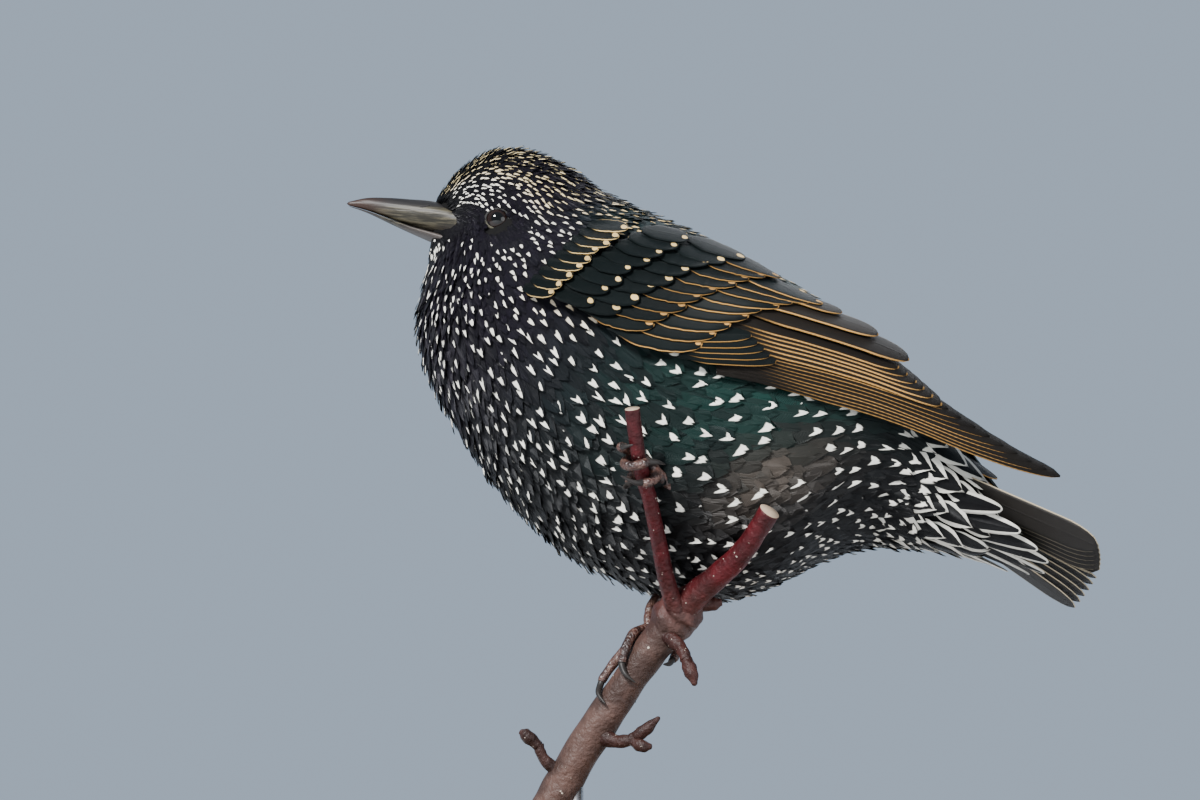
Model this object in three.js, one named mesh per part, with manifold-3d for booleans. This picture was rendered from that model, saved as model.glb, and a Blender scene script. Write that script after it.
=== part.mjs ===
// Starling on a cut perch with a small display stand, life size.
// Millimetres, +Z up, the bill points to -X and the bird's left side to -Y.
import * as THREE from "three";
import { mergeVertices } from "three/addons/utils/BufferGeometryUtils.js";
import Module from "manifold-3d";

const kernel = await Module();
kernel.setup();

const GAP = 0.3;
const SLIVER = 0.015;
const VANE = 0.5;
const BODY_AROUND = 32;
const BODY_ALONG = 44;
const ROLL = 21 * Math.PI / 180;
const ROLL_START = 0;
const ROLL_END = 80;
const FLOOR_Z = -120;
const BASE_THICK = 8;
const BASE_LONG = 136;
const BASE_WIDE = 100;
const ROD_RADIUS = 1.6;
const EYE_RADIUS = 3.3;
const EYE_AT = [-25, 9.9, 42.6];
const LID_RING = 2.95;
const LID_THICK = 0.62;
const BASE_AT = [16, -4];
const ROD_AT = [-5.5, -3.2];
const ROD_LONG = 26;
const TOE_RADIUS = 1.15;
const TOE_RADII = [1.25, 1.15, 1.1, 1.0];
const CLAW_RADII = [0.8, 0.72, 0.55, 0.26];
const CLAW_START = 0.45;
const LEG_RADII = [1.35, 1.5, 2.4];
const PAD_DEPTH = 3;
const CLEAR = GAP + 0.05;
const BLACK = 0x17181b;
const BROWN = 0x2a2622;
const RED_SKIN = 0x8a5a45;

const V = (x, y, z) => new THREE.Vector3(x, y, z);
const lerp = THREE.MathUtils.lerp;
const smooth = THREE.MathUtils.smoothstep;

// Sections of head, neck, body and rump: belly-side point, back-side point (x, z), half width, pear shape
const SECTIONS = [
  { belly: [-41.4, 44.4], back: [-41.2, 44.8], wide: 0, pear: 0 },
  { belly: [-41.6, 39.6], back: [-41.0, 50.4], wide: 2.4, pear: 0 },
  { belly: [-42.2, 37.8], back: [-38.6, 53.4], wide: 3.8, pear: 0.1 },
  { belly: [-42.4, 36.9], back: [-35.6, 57.3], wide: 5.0, pear: 0.25 },
  { belly: [-42.5, 36.3], back: [-27.5, 62.6], wide: 7.4, pear: 0.3 },
  { belly: [-42.5, 35.4], back: [-19.5, 63.2], wide: 9.8, pear: 0.25 },
  { belly: [-42.6, 33.8], back: [-10, 59.6], wide: 11.6, pear: 0.15 },
  { belly: [-43.1, 31], back: [-4.5, 56], wide: 12.8, pear: 0.05 },
  { belly: [-43.6, 27.2], back: [0.5, 52.2], wide: 15.4, pear: 0 },
  { belly: [-44.4, 17.6], back: [11.4, 46.6], wide: 22.5, pear: 0 },
  { belly: [-41.7, 7], back: [20, 43], wide: 27.5, pear: 0 },
  { belly: [-35.7, -4.2], back: [28, 39.6], wide: 31, pear: 0 },
  { belly: [-23.8, -21.8], back: [38, 34.6], wide: 33.5, pear: 0 },
  { belly: [-6.3, -38], back: [50, 28], wide: 34.5, pear: 0 },
  { belly: [12, -46.3], back: [60, 21.5], wide: 33.5, pear: 0 },
  { belly: [28.4, -48.8], back: [68, 15.5], wide: 31, pear: 0 },
  { belly: [42, -45], back: [75, 8.5], wide: 27, pear: 0 },
  { belly: [54, -38.5], back: [81, 0.5], wide: 22.5, pear: 0 },
  { belly: [66, -35], back: [87, -8], wide: 18, pear: 0 },
  { belly: [80, -36.5], back: [93, -17.5], wide: 13.5, pear: 0 },
  { belly: [91, -38.5], back: [98, -27], wide: 8, pear: 0 },
  { belly: [96.5, -35], back: [97, -34], wide: 0, pear: 0 },
];
const curveOf = (pick) => new THREE.CatmullRomCurve3(SECTIONS.map(pick), false, "centripetal");
const BELLY = curveOf((s) => V(s.belly[0], s.belly[1], s.wide));
const BACK = curveOf((s) => V(s.back[0], s.back[1], s.pear));

const LONG_AXIS = { high: 8, slope: -0.36 };

// The hind part of the bird leans over on its own long axis
function roll(p) {
  const turn = ROLL * smooth(p.x, ROLL_START, ROLL_END);
  const axis = LONG_AXIS.high + LONG_AXIS.slope * p.x;
  const up = p.z - axis;
  const y = p.y * Math.cos(turn) + up * Math.sin(turn);
  const z = axis - p.y * Math.sin(turn) + up * Math.cos(turn);
  return V(p.x, y, z);
}

// Turns the faces outward and joins equal corners
function closed(geometry) {
  geometry.deleteAttribute("normal");
  geometry.deleteAttribute("uv");
  const merged = mergeVertices(geometry, 1e-4);
  const at = merged.getAttribute("position");
  const index = merged.index.array;
  const corner = (i) => V().fromBufferAttribute(at, index[i]);
  const kept = [];
  let volume = 0;
  for (let i = 0; i < index.length; i += 3) {
    if (index[i] === index[i + 1] || index[i + 1] === index[i + 2] || index[i] === index[i + 2]) continue;
    volume += corner(i).dot(corner(i + 1).cross(corner(i + 2)));
    kept.push(index[i], index[i + 1], index[i + 2]);
  }
  if (volume < 0) kept.reverse();
  merged.setIndex(kept);
  return merged;
}

function solid(geometry) {
  const made = closed(geometry);
  const vertProperties = new Float32Array(made.getAttribute("position").array);
  const triVerts = new Uint32Array(made.index.array);
  return new kernel.Manifold(new kernel.Mesh({ numProp: 3, vertProperties, triVerts }));
}

// Keeps the largest closed surface of a solid that a cut may have left in pieces
function largest(manifold) {
  const pieces = manifold.decompose();
  return pieces.reduce((a, b) => (b.volume() > a.volume() ? b : a));
}

function join(parts) {
  return parts.reduce((a, b) => a.add(b));
}

// A closed body from a sphere's grid: place(t, angle) gives each corner, t runs from pole to pole
function body(around, along, place) {
  const sphere = new THREE.SphereGeometry(1, around, along);
  const at = sphere.getAttribute("position");
  const uv = sphere.getAttribute("uv");
  for (let i = 0; i < at.count; i++) {
    const t = THREE.MathUtils.clamp(1 - uv.getY(i), 0, 1);
    const ring = Math.round(t * along);
    const side = ring === 0 || ring === along ? 0 : (Math.round(uv.getX(i) * around) % around) / around;
    const p = place(ring / along, side * 2 * Math.PI);
    at.setXYZ(i, p.x, p.y, p.z);
  }
  return sphere;
}

// The flesh of the bird, grown by an even margin, before or after its hind part leans over
function flesh(grow, lean = roll) {
  return solid(body(BODY_AROUND, BODY_ALONG, (t, angle) => {
    const belly = BELLY.getPoint(t);
    const back = BACK.getPoint(t);
    const half = V((back.x - belly.x) / 2, 0, (back.y - belly.y) / 2);
    const middle = V((back.x + belly.x) / 2, 0, (back.y + belly.y) / 2);
    const end = t === 0 || t === 1 ? 0 : 1;
    const tall = end * (1 + grow / Math.max(half.length(), 1));
    const wide = end * (Math.max(belly.z, 0) + grow) * (1 + back.z * Math.cos(angle));
    return lean(middle.add(half.multiplyScalar(tall * Math.cos(angle))).add(V(0, wide * Math.sin(angle), 0)));
  }));
}

// Half width of the unrolled body at a point of its side view
function flank(x, z) {
  const steps = 90;
  let before = null;
  for (let i = 8; i <= steps; i++) {
    const belly = BELLY.getPoint(i / steps);
    const back = BACK.getPoint(i / steps);
    const dx = back.x - belly.x;
    const dz = back.y - belly.y;
    const long = Math.hypot(dx, dz);
    const off = (dx * (z - belly.y) - dz * (x - belly.x)) / long;
    const along = (dx * (x - belly.x) + dz * (z - belly.y)) / long / long;
    const here = { off, along, wide: belly.z };
    if (before && before.off < 0 && off >= 0) {
      const k = before.off / (before.off - off);
      const h = 2 * lerp(before.along, along, k) - 1;
      return lerp(before.wide, belly.z, k) * Math.sqrt(Math.max(0, 1 - h * h));
    }
    before = here;
  }
  return 0;
}

// The folded wing hugs the flank up to the rump, then runs on as a free curved face
const FOLD = {
  off: 3.4, wide: [34.5, 21.5], narrows: [35, 112], freed: [34, 62], middle: 1.6, slope: -0.24, high: 38,
};

function wingFace(x, z) {
  const wide = lerp(...FOLD.wide, smooth(x, ...FOLD.narrows));
  const middle = FOLD.middle + FOLD.slope * x;
  const h = THREE.MathUtils.clamp((z - middle) / FOLD.high, -0.95, 0.95);
  const free = wide * Math.sqrt(1 - h * h);
  return lerp(flank(x, z) + FOLD.off, free, smooth(x, ...FOLD.freed));
}

// A thin closed slab from a grid: both faces and the rim share one layout of triangles
function slab(across, along, place) {
  const sheet = new THREE.PlaneGeometry(2, 1, across, along);
  const at = sheet.getAttribute("position");
  const faces = sheet.index.array;
  const points = [];
  const index = [];
  for (const side of [1, -1]) {
    for (let i = 0; i < at.count; i++) {
      const p = place(at.getX(i), 0.5 - at.getY(i), side);
      points.push(p.x, p.y, p.z);
    }
  }
  for (let i = 0; i < faces.length; i += 3) {
    index.push(faces[i], faces[i + 1], faces[i + 2]);
    index.push(at.count + faces[i], at.count + faces[i + 2], at.count + faces[i + 1]);
  }
  const columns = across + 1;
  const rim = [];
  for (let i = 0; i < across; i++) rim.push(i);
  for (let j = 0; j < along; j++) rim.push(j * columns + across);
  for (let i = across; i > 0; i--) rim.push(along * columns + i);
  for (let j = along; j > 0; j--) rim.push(j * columns);
  rim.forEach((a, k) => {
    const b = rim[(k + 1) % rim.length];
    index.push(a, b, a + at.count, b, b + at.count, a + at.count);
  });
  const geometry = new THREE.BufferGeometry();
  geometry.setAttribute("position", new THREE.Float32BufferAttribute(points, 3));
  geometry.setIndex(index);
  return geometry;
}

// Rows of a vane stand closer near its tip
const alongVane = (v) => 1 - (1 - v) ** 1.35;

// Width of a feather's vane along its shaft: narrow root, even middle, round tip
function vaneWidth(t) {
  const root = lerp(0.45, 1, smooth(t, 0, 0.4));
  const tip = t > 0.8 ? Math.sqrt(Math.max(0.03, 1 - ((t - 0.8) / 0.2) ** 2)) : 1;
  return root * tip;
}

// A feather of the wing: root and tip as x, z of the side view, tilted like a roof tile
function wingVane({ root, tip, wide, lift = 0, tilt = 0.5, bow = 0, rows = 6 }) {
  const run = V(tip[0] - root[0], 0, tip[1] - root[1]);
  const up = V(-run.z, 0, run.x).normalize();
  return solid(slab(1, rows, (u, v, face) => {
    const t = alongVane(v);
    const q = wide * vaneWidth(t) * (0.15 + 0.5 * u);
    const x = root[0] + run.x * t + up.x * (q - bow * 4 * t * (1 - t));
    const z = root[1] + run.z * t + up.z * (q - bow * 4 * t * (1 - t));
    const out = wingFace(x, z) + lift * (0.4 + 0.6 * t) - tilt * (q + 0.35 * wide) + face * VANE / 2;
    return V(x, -out, z);
  }));
}

// Outline of the shoulder and upper wing in side view, where the feather roots sit
function shoulderPrism() {
  const outline = new THREE.Shape();
  outline.moveTo(-14, 22);
  outline.splineThru([
    new THREE.Vector2(-7, 34), new THREE.Vector2(8, 37), new THREE.Vector2(26, 32),
    new THREE.Vector2(42, 23), new THREE.Vector2(47, 12), new THREE.Vector2(43, 0),
    new THREE.Vector2(34, -3.5), new THREE.Vector2(20, 3.5), new THREE.Vector2(4, 10), new THREE.Vector2(-10, 15),
    new THREE.Vector2(-14, 22),
  ]);
  const extrusion = { depth: 50, bevelEnabled: false, curveSegments: 20, steps: 1 };
  const prism = new THREE.ExtrudeGeometry(outline, extrusion);
  prism.rotateX(Math.PI / 2);
  prism.translate(0, -8, 0);
  return solid(prism);
}

const PRIMARIES = [
  { root: [34, -2.6], tip: [108.4, -28.8], wide: 7.5, bow: 1.2 },
  { root: [34, -1], tip: [103, -26], wide: 8, bow: 1.0 },
  { root: [34, 0.6], tip: [97, -23], wide: 8, bow: 0.8 },
  { root: [34, 2.2], tip: [91, -19.4], wide: 8, bow: 0.6 },
  { root: [34, 3.8], tip: [85, -15.8], wide: 8, bow: 0.3 },
];
const SECONDARIES = [
  { root: [34, 5.6], tip: [79, -13.6], wide: 8, bow: 0.2 },
  { root: [34, 8], tip: [75, -10], wide: 8 },
  { root: [34, 10.4], tip: [71, -6.2], wide: 8 },
];
const TERTIALS = [
  { root: [34, 13.6], tip: [73.5, -1.6], wide: 9, lift: 0.3 },
  { root: [33, 17.4], tip: [66.5, 5.6], wide: 8, lift: 0.3 },
  { root: [32, 21.4], tip: [58, 12.6], wide: 7, lift: 0.3 },
];
const GREATER_COVERTS = [
  { root: [8, 15.5], tip: [24, 7.2], wide: 7 },
  { root: [13, 17.8], tip: [31.5, 9.6], wide: 7 },
  { root: [19, 19.8], tip: [39.5, 11.4], wide: 7 },
  { root: [26, 21.6], tip: [45, 13.6], wide: 7 },
  { root: [32, 23.6], tip: [50, 16.4], wide: 7 },
];
const PRIMARY_COVERTS = [
  { root: [22, 0.8], tip: [40.5, -6.2], wide: 4.5 },
  { root: [20, 3.6], tip: [37.5, -2.8], wide: 4.5 },
];
const SCAPULARS = [
  { root: [-2, 25.5], tip: [15, 20.5], wide: 8 },
  { root: [6, 28.5], tip: [24, 22.6], wide: 8 },
  { root: [14, 30.5], tip: [33, 23.8], wide: 8 },
  { root: [22, 31], tip: [41.5, 23.4], wide: 8 },
];

// The left wing, before it leans over with the rest
function wing() {
  const upright = (p) => p;
  const pad = flesh(PAD_DEPTH, upright).intersect(shoulderPrism());
  const tier = (list, common) => list.map((vane) => wingVane({ ...common, ...vane }));
  const vanes = [
    ...tier(PRIMARIES, { tilt: 0.42, lift: -0.6, rows: 7 }),
    ...tier(SECONDARIES, { tilt: 0.4, lift: 0, rows: 6 }),
    ...tier(TERTIALS, { tilt: 0.3, lift: 0.6, rows: 6 }),
    ...tier(PRIMARY_COVERTS, { tilt: 0.3, lift: 0.9, rows: 4 }),
    ...tier(GREATER_COVERTS, { tilt: 0.3, lift: 1.2, rows: 4 }),
    ...tier(SCAPULARS, { tilt: 0.3, lift: 1.3, rows: 4 }),
  ];
  return largest(join([pad, ...vanes]).subtract(flesh(CLEAR, upright)));
}

// A feather laid between two points of space, its face turned to a given side
function straightVane({ root, tip, faceTo, wide, cup = 0, tilt = 0, inner = 99, rows = 6 }) {
  const from = V(...root);
  const run = V(...tip).sub(from);
  const normal = V(...faceTo).addScaledVector(run, -V(...faceTo).dot(run) / run.lengthSq()).normalize();
  const across = V().crossVectors(run, normal).normalize();
  return solid(slab(2, rows, (u, v, face) => {
    const t = alongVane(v);
    const q = wide / 2 * vaneWidth(t) * u;
    const p = from.clone().addScaledVector(run, t).addScaledVector(across, q);
    p.addScaledVector(normal, face * VANE / 2 + tilt * q - cup * u * u);
    if (Math.abs(inner) < 50) p.y = inner < 0 ? Math.min(p.y, inner) : Math.max(p.y, inner);
    return roll(p);
  }));
}

// Twelve tail feathers, the outer ones lowest, with the coverts above and below their roots
function tailFeathers() {
  const made = [];
  for (const side of [-1, 1]) {
    for (let j = 0; j < 6; j++) {
      made.push(straightVane({
        root: [70, side * (0.9 + 0.75 * j), -15.5 - 0.1 * j],
        tip: [119.6 - 0.35 * j - 0.05 * j * j, side * (2.2 + 2.7 * j), -43.6 - 0.25 * j],
        faceTo: [0, 0, 1], wide: 8.6, tilt: side * -0.32, inner: side * 0.25, rows: 5,
      }));
    }
  }
  return made;
}

function tailCoverts() {
  const made = [];
  const both = (root, tip, faceTo, wide) => {
    for (const side of [-1, 1]) {
      made.push(straightVane({
        root: [root[0], side * root[1], root[2]], tip: [tip[0], side * tip[1], tip[2]],
        faceTo: [faceTo[0], side * faceTo[1], faceTo[2]], wide, cup: 0.6, rows: 4,
      }));
    }
  };
  both([84, 3.2, -34], [105, 4.6, -41.5], [0, 0.3, -1], 7.6);
  both([78, 7.4, -32], [98, 9.4, -37.4], [0, 0.7, -1], 7.6);
  both([74, 11.4, -27], [91, 13.6, -31], [0, 1.2, -0.7], 7);
  both([80, 3.4, -7.5], [101, 4.2, -28.6], [0, 0.3, 1], 7.2);
  both([77, 8.4, -8.5], [95, 10.2, -24.6], [0, 0.8, 1], 7);
  return made;
}

// Where head, neck, torso and tail part, as two points of the side view each
const THROAT_CUT = [[-43.6, 26], [1, 52.2]];
const BREAST_CUT = [[-32, -10], [31, 38.2]];
const RUMP_CUT = [[62, -36], [86, -6]];

// A wide thin blade that parts the body across its length, through two points of the side view
function partingBlade(a, b) {
  const blade = new THREE.BoxGeometry(240, 120, GAP);
  blade.rotateY(-Math.atan2(b[1] - a[1], b[0] - a[0]));
  blade.translate((a[0] + b[0]) / 2, 0, (a[1] + b[1]) / 2);
  return solid(blade);
}

// Mean of a solid's corners along one axis: 0 is x and 2 is z
function centre(manifold, axis) {
  const points = manifold.getMesh().vertProperties;
  let sum = 0;
  for (let i = axis; i < points.length; i += 3) sum += points[i];
  return sum / (points.length / 3);
}

function partedFlesh(whole) {
  const blades = [
    partingBlade(...THROAT_CUT),
    partingBlade(...BREAST_CUT),
    partingBlade(...RUMP_CUT),
  ];
  const pieces = blades.reduce((left, blade) => left.subtract(blade), whole).decompose();
  return pieces.sort((a, b) => centre(a, 0) - centre(b, 0));
}

// Bill: ridge and lower edge of the upper half, then the lower half beneath the line of the mouth
const MOUTH = [[-62.9, 49.5], [-58, 48.1], [-52.4, 46.0], [-47, 44], [-42.3, 42.5], [-34.6, 40.4], [-31, 39.6]];
const RIDGE = [[-63.3, 50.2], [-58, 51.3], [-52.4, 51.3], [-47, 50.9], [-41.4, 50.4], [-35, 48.6], [-31, 47]];
const CHIN = [[-62.3, 49.2], [-58, 47.6], [-52.4, 44.9], [-47, 42.4], [-42.3, 40.4], [-35.5, 37.2], [-31, 36.6]];
const BILL_WIDE = [0.25, 1.0, 1.75, 2.5, 3.4, 4.9, 4.6];

function billHalf(low, high, drop, grow) {
  const curve = (list) => new THREE.CatmullRomCurve3(list.map((p, i) => V(p[0], BILL_WIDE[i], p[1])));
  const lower = curve(low);
  const upper = curve(high);
  return solid(body(12, 12, (t, angle) => {
    const a = lower.getPoint(t);
    const b = upper.getPoint(t);
    b.z -= drop;
    const end = t === 0 || t === 1 ? 0 : 1;
    const tall = end * ((b.z - a.z) / 2 + grow);
    const wide = end * (a.y + grow);
    const edge = Math.sign(Math.sin(angle)) * Math.abs(Math.sin(angle)) ** 0.8;
    const middle = a.add(b).multiplyScalar(0.5);
    return V(middle.x - (t === 0 ? grow : 0), wide * edge, middle.z + tall * Math.cos(angle));
  }));
}

function nostrils() {
  return [-1, 1].map((side) => {
    const pit = new THREE.SphereGeometry(1, 8, 6);
    pit.scale(1.25, 0.7, 0.42);
    pit.rotateY(0.2);
    pit.translate(-43.6, side * 2.75, 48.2);
    return solid(pit);
  });
}

function eyeBall(side, radius) {
  const ball = new THREE.SphereGeometry(radius, 14, 10);
  ball.translate(EYE_AT[0], side * EYE_AT[1], EYE_AT[2]);
  return solid(ball);
}

function lid(side) {
  const ring = new THREE.TorusGeometry(LID_RING, LID_THICK, 6, 18);
  ring.scale(1.06, 0.94, 1);
  ring.rotateX(Math.PI / 2);
  ring.rotateZ(side * 0.22);
  ring.translate(EYE_AT[0], side * (EYE_AT[1] + 2.05), EYE_AT[2]);
  return solid(ring);
}

function headWithFace(skull) {
  const bill = join([billHalf(MOUTH, RIDGE, 0, GAP), billHalf(CHIN, MOUTH, 0, GAP)]);
  const lids = join([skull, lid(-1), lid(1)]);
  const sockets = join([eyeBall(-1, EYE_RADIUS + GAP), eyeBall(1, EYE_RADIUS + GAP)]);
  return largest(lids.subtract(sockets).subtract(bill));
}

// A round rod of changing thickness along a curve; its ends are domes or flat cuts
function limb(points, radii, { around = 7, along = 6, flat = false, knobs = 0, knobby = 0 } = {}) {
  const curve = new THREE.CatmullRomCurve3(points.map((p) => V(...p)), false, "centripetal");
  const thick = new THREE.CatmullRomCurve3(radii.map((r, i) => V(i, r, 0)));
  const guide = V(0.31, -0.55, 0.77);
  const place = (t, angle, cap) => {
    const tangent = curve.getTangent(t);
    const one = V().crossVectors(tangent, guide).normalize();
    const two = V().crossVectors(tangent, one);
    const swell = 1 + knobby * Math.cos(2 * Math.PI * knobs * t);
    const r = thick.getPoint(t).y * swell * cap;
    return curve.getPoint(t).addScaledVector(one, r * Math.cos(angle)).addScaledVector(two, r * Math.sin(angle));
  };
  if (!flat) {
    return solid(body(around, along, (t, angle) => {
      const inner = THREE.MathUtils.clamp((t - 0.5 / along) / (1 - 1 / along), 0, 1);
      const end = t === 0 || t === 1 ? 0 : Math.min(t, 1 - t) * along < 1.5 ? 0.86 : 1;
      return place(lerp(t, inner, 0.5), angle, end);
    }));
  }
  const tube = new THREE.CylinderGeometry(1, 1, 1, around, along);
  const at = tube.getAttribute("position");
  for (let i = 0; i < at.count; i++) {
    const cap = Math.min(1, Math.hypot(at.getX(i), at.getZ(i)));
    const p = place(at.getY(i) + 0.5, Math.atan2(at.getZ(i), at.getX(i)), cap);
    at.setXYZ(i, p.x, p.y, p.z);
  }
  return solid(tube);
}

// Perch: thick branch to the fork, two cut twigs, spurs with buds
const FORK = [[13.4, -10, -60.4], [18.4, -12, -53.6], [22.4, -15, -49.4]];
const TWIG = [[19.2, -13, -56], [16.2, -19, -49], [11.4, -34, -30], [9, -40.5, -22.7], [7.2, -46.5, -11]];
const SLANT = [[16, -11, -56], [22, -16.5, -50], [32.2, -27, -41.5], [38.6, -34.5, -32.5]];
const BRANCH = [[-12.2, -1.4, -99.4], [-6, -3, -88], [4, -6.5, -73], [12, -9.5, -62], [18.6, -12, -53.6]];
const BRANCH_RADII = [4.6, 4.4, 4.1, 4.0, 4.6];
const BRANCH_GRID = { around: 12, along: 10, flat: true };

function perch() {
  const parts = [
    limb(BRANCH, BRANCH_RADII, BRANCH_GRID),
    limb(FORK, [3.6, 5.6, 3.4], { around: 12, along: 8, knobs: 3, knobby: 0.05 }),
    limb(TWIG, [2.6, 2.0, 1.75, 1.7, 1.65], { around: 8, along: 8, flat: true }),
    limb(SLANT, [3.2, 3.3, 2.6, 2.4], { around: 8, along: 7, flat: true }),
    limb([[-8, -3, -92], [-13.6, -4, -86.4], [-14.6, -4.4, -83.6]], [1.9, 1.3, 1.3]),
    limb([[-14.2, -4.2, -84.4], [-17.4, -5, -81.6], [-19, -5.2, -80.6]], [1.2, 1.6, 0.5], { along: 5 }),
    limb([[-1, -5, -81], [4, -8, -83.2], [8.6, -9.5, -82.6]], [2.4, 1.6, 1.4]),
    limb([[7, -9, -82.8], [10.6, -10.4, -80.6], [14, -11.4, -77.6]], [1.2, 1.5, 0.4], { along: 5 }),
    limb([[7.4, -9.4, -83], [10, -10.8, -84.4], [12.2, -11.2, -84.4]], [1.2, 1.5, 0.5], { along: 5 }),
    limb([[15, -12.5, -58], [19, -17, -62.4], [20, -18, -65]], [2.2, 1.5, 1.4]),
    limb([[19.8, -17.8, -64.4], [21, -18.8, -67.6], [22, -19.4, -71]], [1.3, 1.7, 0.5], { along: 5 }),
    limb([[22, -14.5, -50.6], [26.4, -15, -51.6], [28.6, -15, -51]], [2.2, 1.7, 0.8], { along: 5 }),
  ];
  return largest(join(parts));
}

// Point at a turn and a height round a stick; turn 0 faces the viewer and 90 degrees lies on the bill's side
function gripPoint(stick, turn, height, out) {
  const axis = V(...stick.axis).normalize();
  const front = V(0, -1, 0).addScaledVector(axis, axis.y).normalize();
  const bill = V().crossVectors(axis, front).normalize();
  if (bill.x > 0) bill.negate();
  const a = turn * Math.PI / 180;
  const r = stick.radius + GAP + out;
  return V(...stick.at).addScaledVector(axis, height)
    .addScaledVector(front, r * Math.cos(a)).addScaledVector(bill, r * Math.sin(a)).toArray();
}

const NEAR_STICK = { at: [9, -40.5, -22.7], axis: [-2.3, -6.4, 9.8], radius: 1.75 };
const FAR_STICK = { at: [12, -9.5, -62], axis: [-7.6, 3.1, -11], radius: 4.1 };

// Each toe as turn, height pairs from the ball of the foot to the root of its claw, then the claw
const NEAR_TOES = [
  { path: [[200, 0.6], [160, 2.2], [125, 4], [98, 5]], claw: [[92, 5.2], [55, 5.9], [12, 6.6]], free: 0.6 },
  {
    path: [[200, 0], [150, 0.6], [95, 1], [40, 1.2], [-14, 1.4]],
    claw: [[-22, 1.4], [-58, 0.6], [-84, -1.2]], free: 2.6,
  },
  {
    path: [[200, -0.4], [170, -2], [142, -3.4], [120, -4]],
    claw: [[113, -4.2], [86, -4.4], [62, -3.6]], free: 2.4,
  },
  {
    path: [[170, 0], [215, -2], [270, -3], [325, -3.4], [352, -3.3]],
    claw: [[360, -3.2], [385, -2.2], [412, 0.2]], free: 3.4,
  },
];
const FAR_TOES = [
  { path: [[140, -3.4], [116, 2], [98, 7.5], [84, 12]], claw: [[78, 13.4], [50, 15], [16, 15.6]], free: 0.6 },
  { path: [[140, -3.6], [96, -0.8], [66, 2.4], [50, 5]], claw: [[44, 6], [16, 7.2], [-14, 7.4]], free: 0.8 },
  {
    path: [[140, -3.4], [150, 2.6], [158, 7], [170, 10]],
    claw: [[176, 11.2], [196, 12.6], [220, 13]], free: 0.6,
  },
  {
    path: [[142, -4], [186, -4.6], [226, -3], [256, -1.6]],
    claw: [[264, -1], [292, -0.2], [316, 0.4]], free: 0.8,
  },
];

function toePoints(stick, toe) {
  return toe.path.map(([turn, height]) => gripPoint(stick, turn, height, TOE_RADIUS + 0.1));
}

function foot(stick, toes, grow) {
  const radii = TOE_RADII.map((r) => r + grow);
  const parts = toes.map((toe) => limb(toePoints(stick, toe), radii, { around: 7, along: 10, knobs: 4, knobby: 0.07 }));
  return largest(join(parts));
}

function claw(stick, toe) {
  const count = toe.claw.length - 1;
  const last = V(...gripPoint(stick, ...toe.path.at(-1), TOE_RADIUS + 0.1));
  const points = toe.claw.map(([turn, height], i) => gripPoint(stick, turn, height, 1 + toe.free * i / count));
  const away = V(...points[0]).sub(last);
  const from = last.addScaledVector(away.normalize(), CLAW_START);
  return limb([from.toArray(), ...points], CLAW_RADII, { around: 7, along: 9 });
}

function leg(stick, ankle, hip, toes, tight) {
  const ball = V(...gripPoint(stick, ...toes[0].path[0], TOE_RADIUS + 0.1));
  const tube = limb([ball.toArray(), ankle, hip], LEG_RADII, { around: 10, along: 10 });
  return largest(tube.subtract(tight).subtract(foot(stick, toes, GAP)));
}

// Draws together corners that lie closer than a hair, and drops the slivers between them
function withoutSlivers(points, faces) {
  const home = points.map((_, i) => i);
  const find = (i) => {
    while (home[i] !== i) i = home[i];
    return i;
  };
  for (let i = 0; i < faces.length; i++) {
    const a = find(faces[i]);
    const b = find(faces[i % 3 === 2 ? i - 2 : i + 1]);
    if (a !== b && points[a].distanceTo(points[b]) < SLIVER) home[Math.max(a, b)] = Math.min(a, b);
  }
  const kept = new Map();
  for (let i = 0; i < faces.length; i += 3) {
    const face = [find(faces[i]), find(faces[i + 1]), find(faces[i + 2])];
    if (new Set(face).size < 3) continue;
    const key = [...face].sort((a, b) => a - b).join();
    if (kept.has(key)) kept.delete(key);
    else kept.set(key, face);
  }
  return [...kept.values()].flat();
}

function mesh(name, manifold, colour, roughness, place = (p) => p, flip = false) {
  const source = manifold.getMesh();
  const points = [];
  for (let i = 0; i < source.vertProperties.length; i += 3) {
    points.push(place(V().fromArray(source.vertProperties, i)));
  }
  const faces = withoutSlivers(points, source.triVerts);
  if (flip) faces.reverse();
  const geometry = new THREE.BufferGeometry();
  const corners = points.flatMap((p) => p.toArray());
  geometry.setAttribute("position", new THREE.Float32BufferAttribute(corners, 3));
  geometry.setIndex(faces);
  geometry.computeVertexNormals();
  const material = new THREE.MeshStandardMaterial({ color: colour, roughness, metalness: 0 });
  const made = new THREE.Mesh(geometry, material);
  made.name = name;
  return made;
}

// Plain display stand: an oval board and one rod up to the cut end of the perch
function standBase() {
  const board = new THREE.CylinderGeometry(1, 1.03, BASE_THICK, 48);
  board.rotateX(Math.PI / 2);
  board.scale(BASE_LONG / 2.06, BASE_WIDE / 2.06, 1);
  board.translate(...BASE_AT, FLOOR_Z + BASE_THICK / 2);
  return solid(board);
}

function standRod() {
  const rod = new THREE.CylinderGeometry(ROD_RADIUS, ROD_RADIUS, ROD_LONG, 20);
  rod.rotateX(Math.PI / 2);
  rod.translate(...ROD_AT, FLOOR_Z + BASE_THICK + GAP + ROD_LONG / 2);
  const room = limb(BRANCH, BRANCH_RADII.map((r) => r + GAP), BRANCH_GRID);
  const pieces = solid(rod).subtract(room).decompose();
  return pieces.reduce((a, b) => (centre(a, 2) < centre(b, 2) ? a : b));
}

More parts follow.
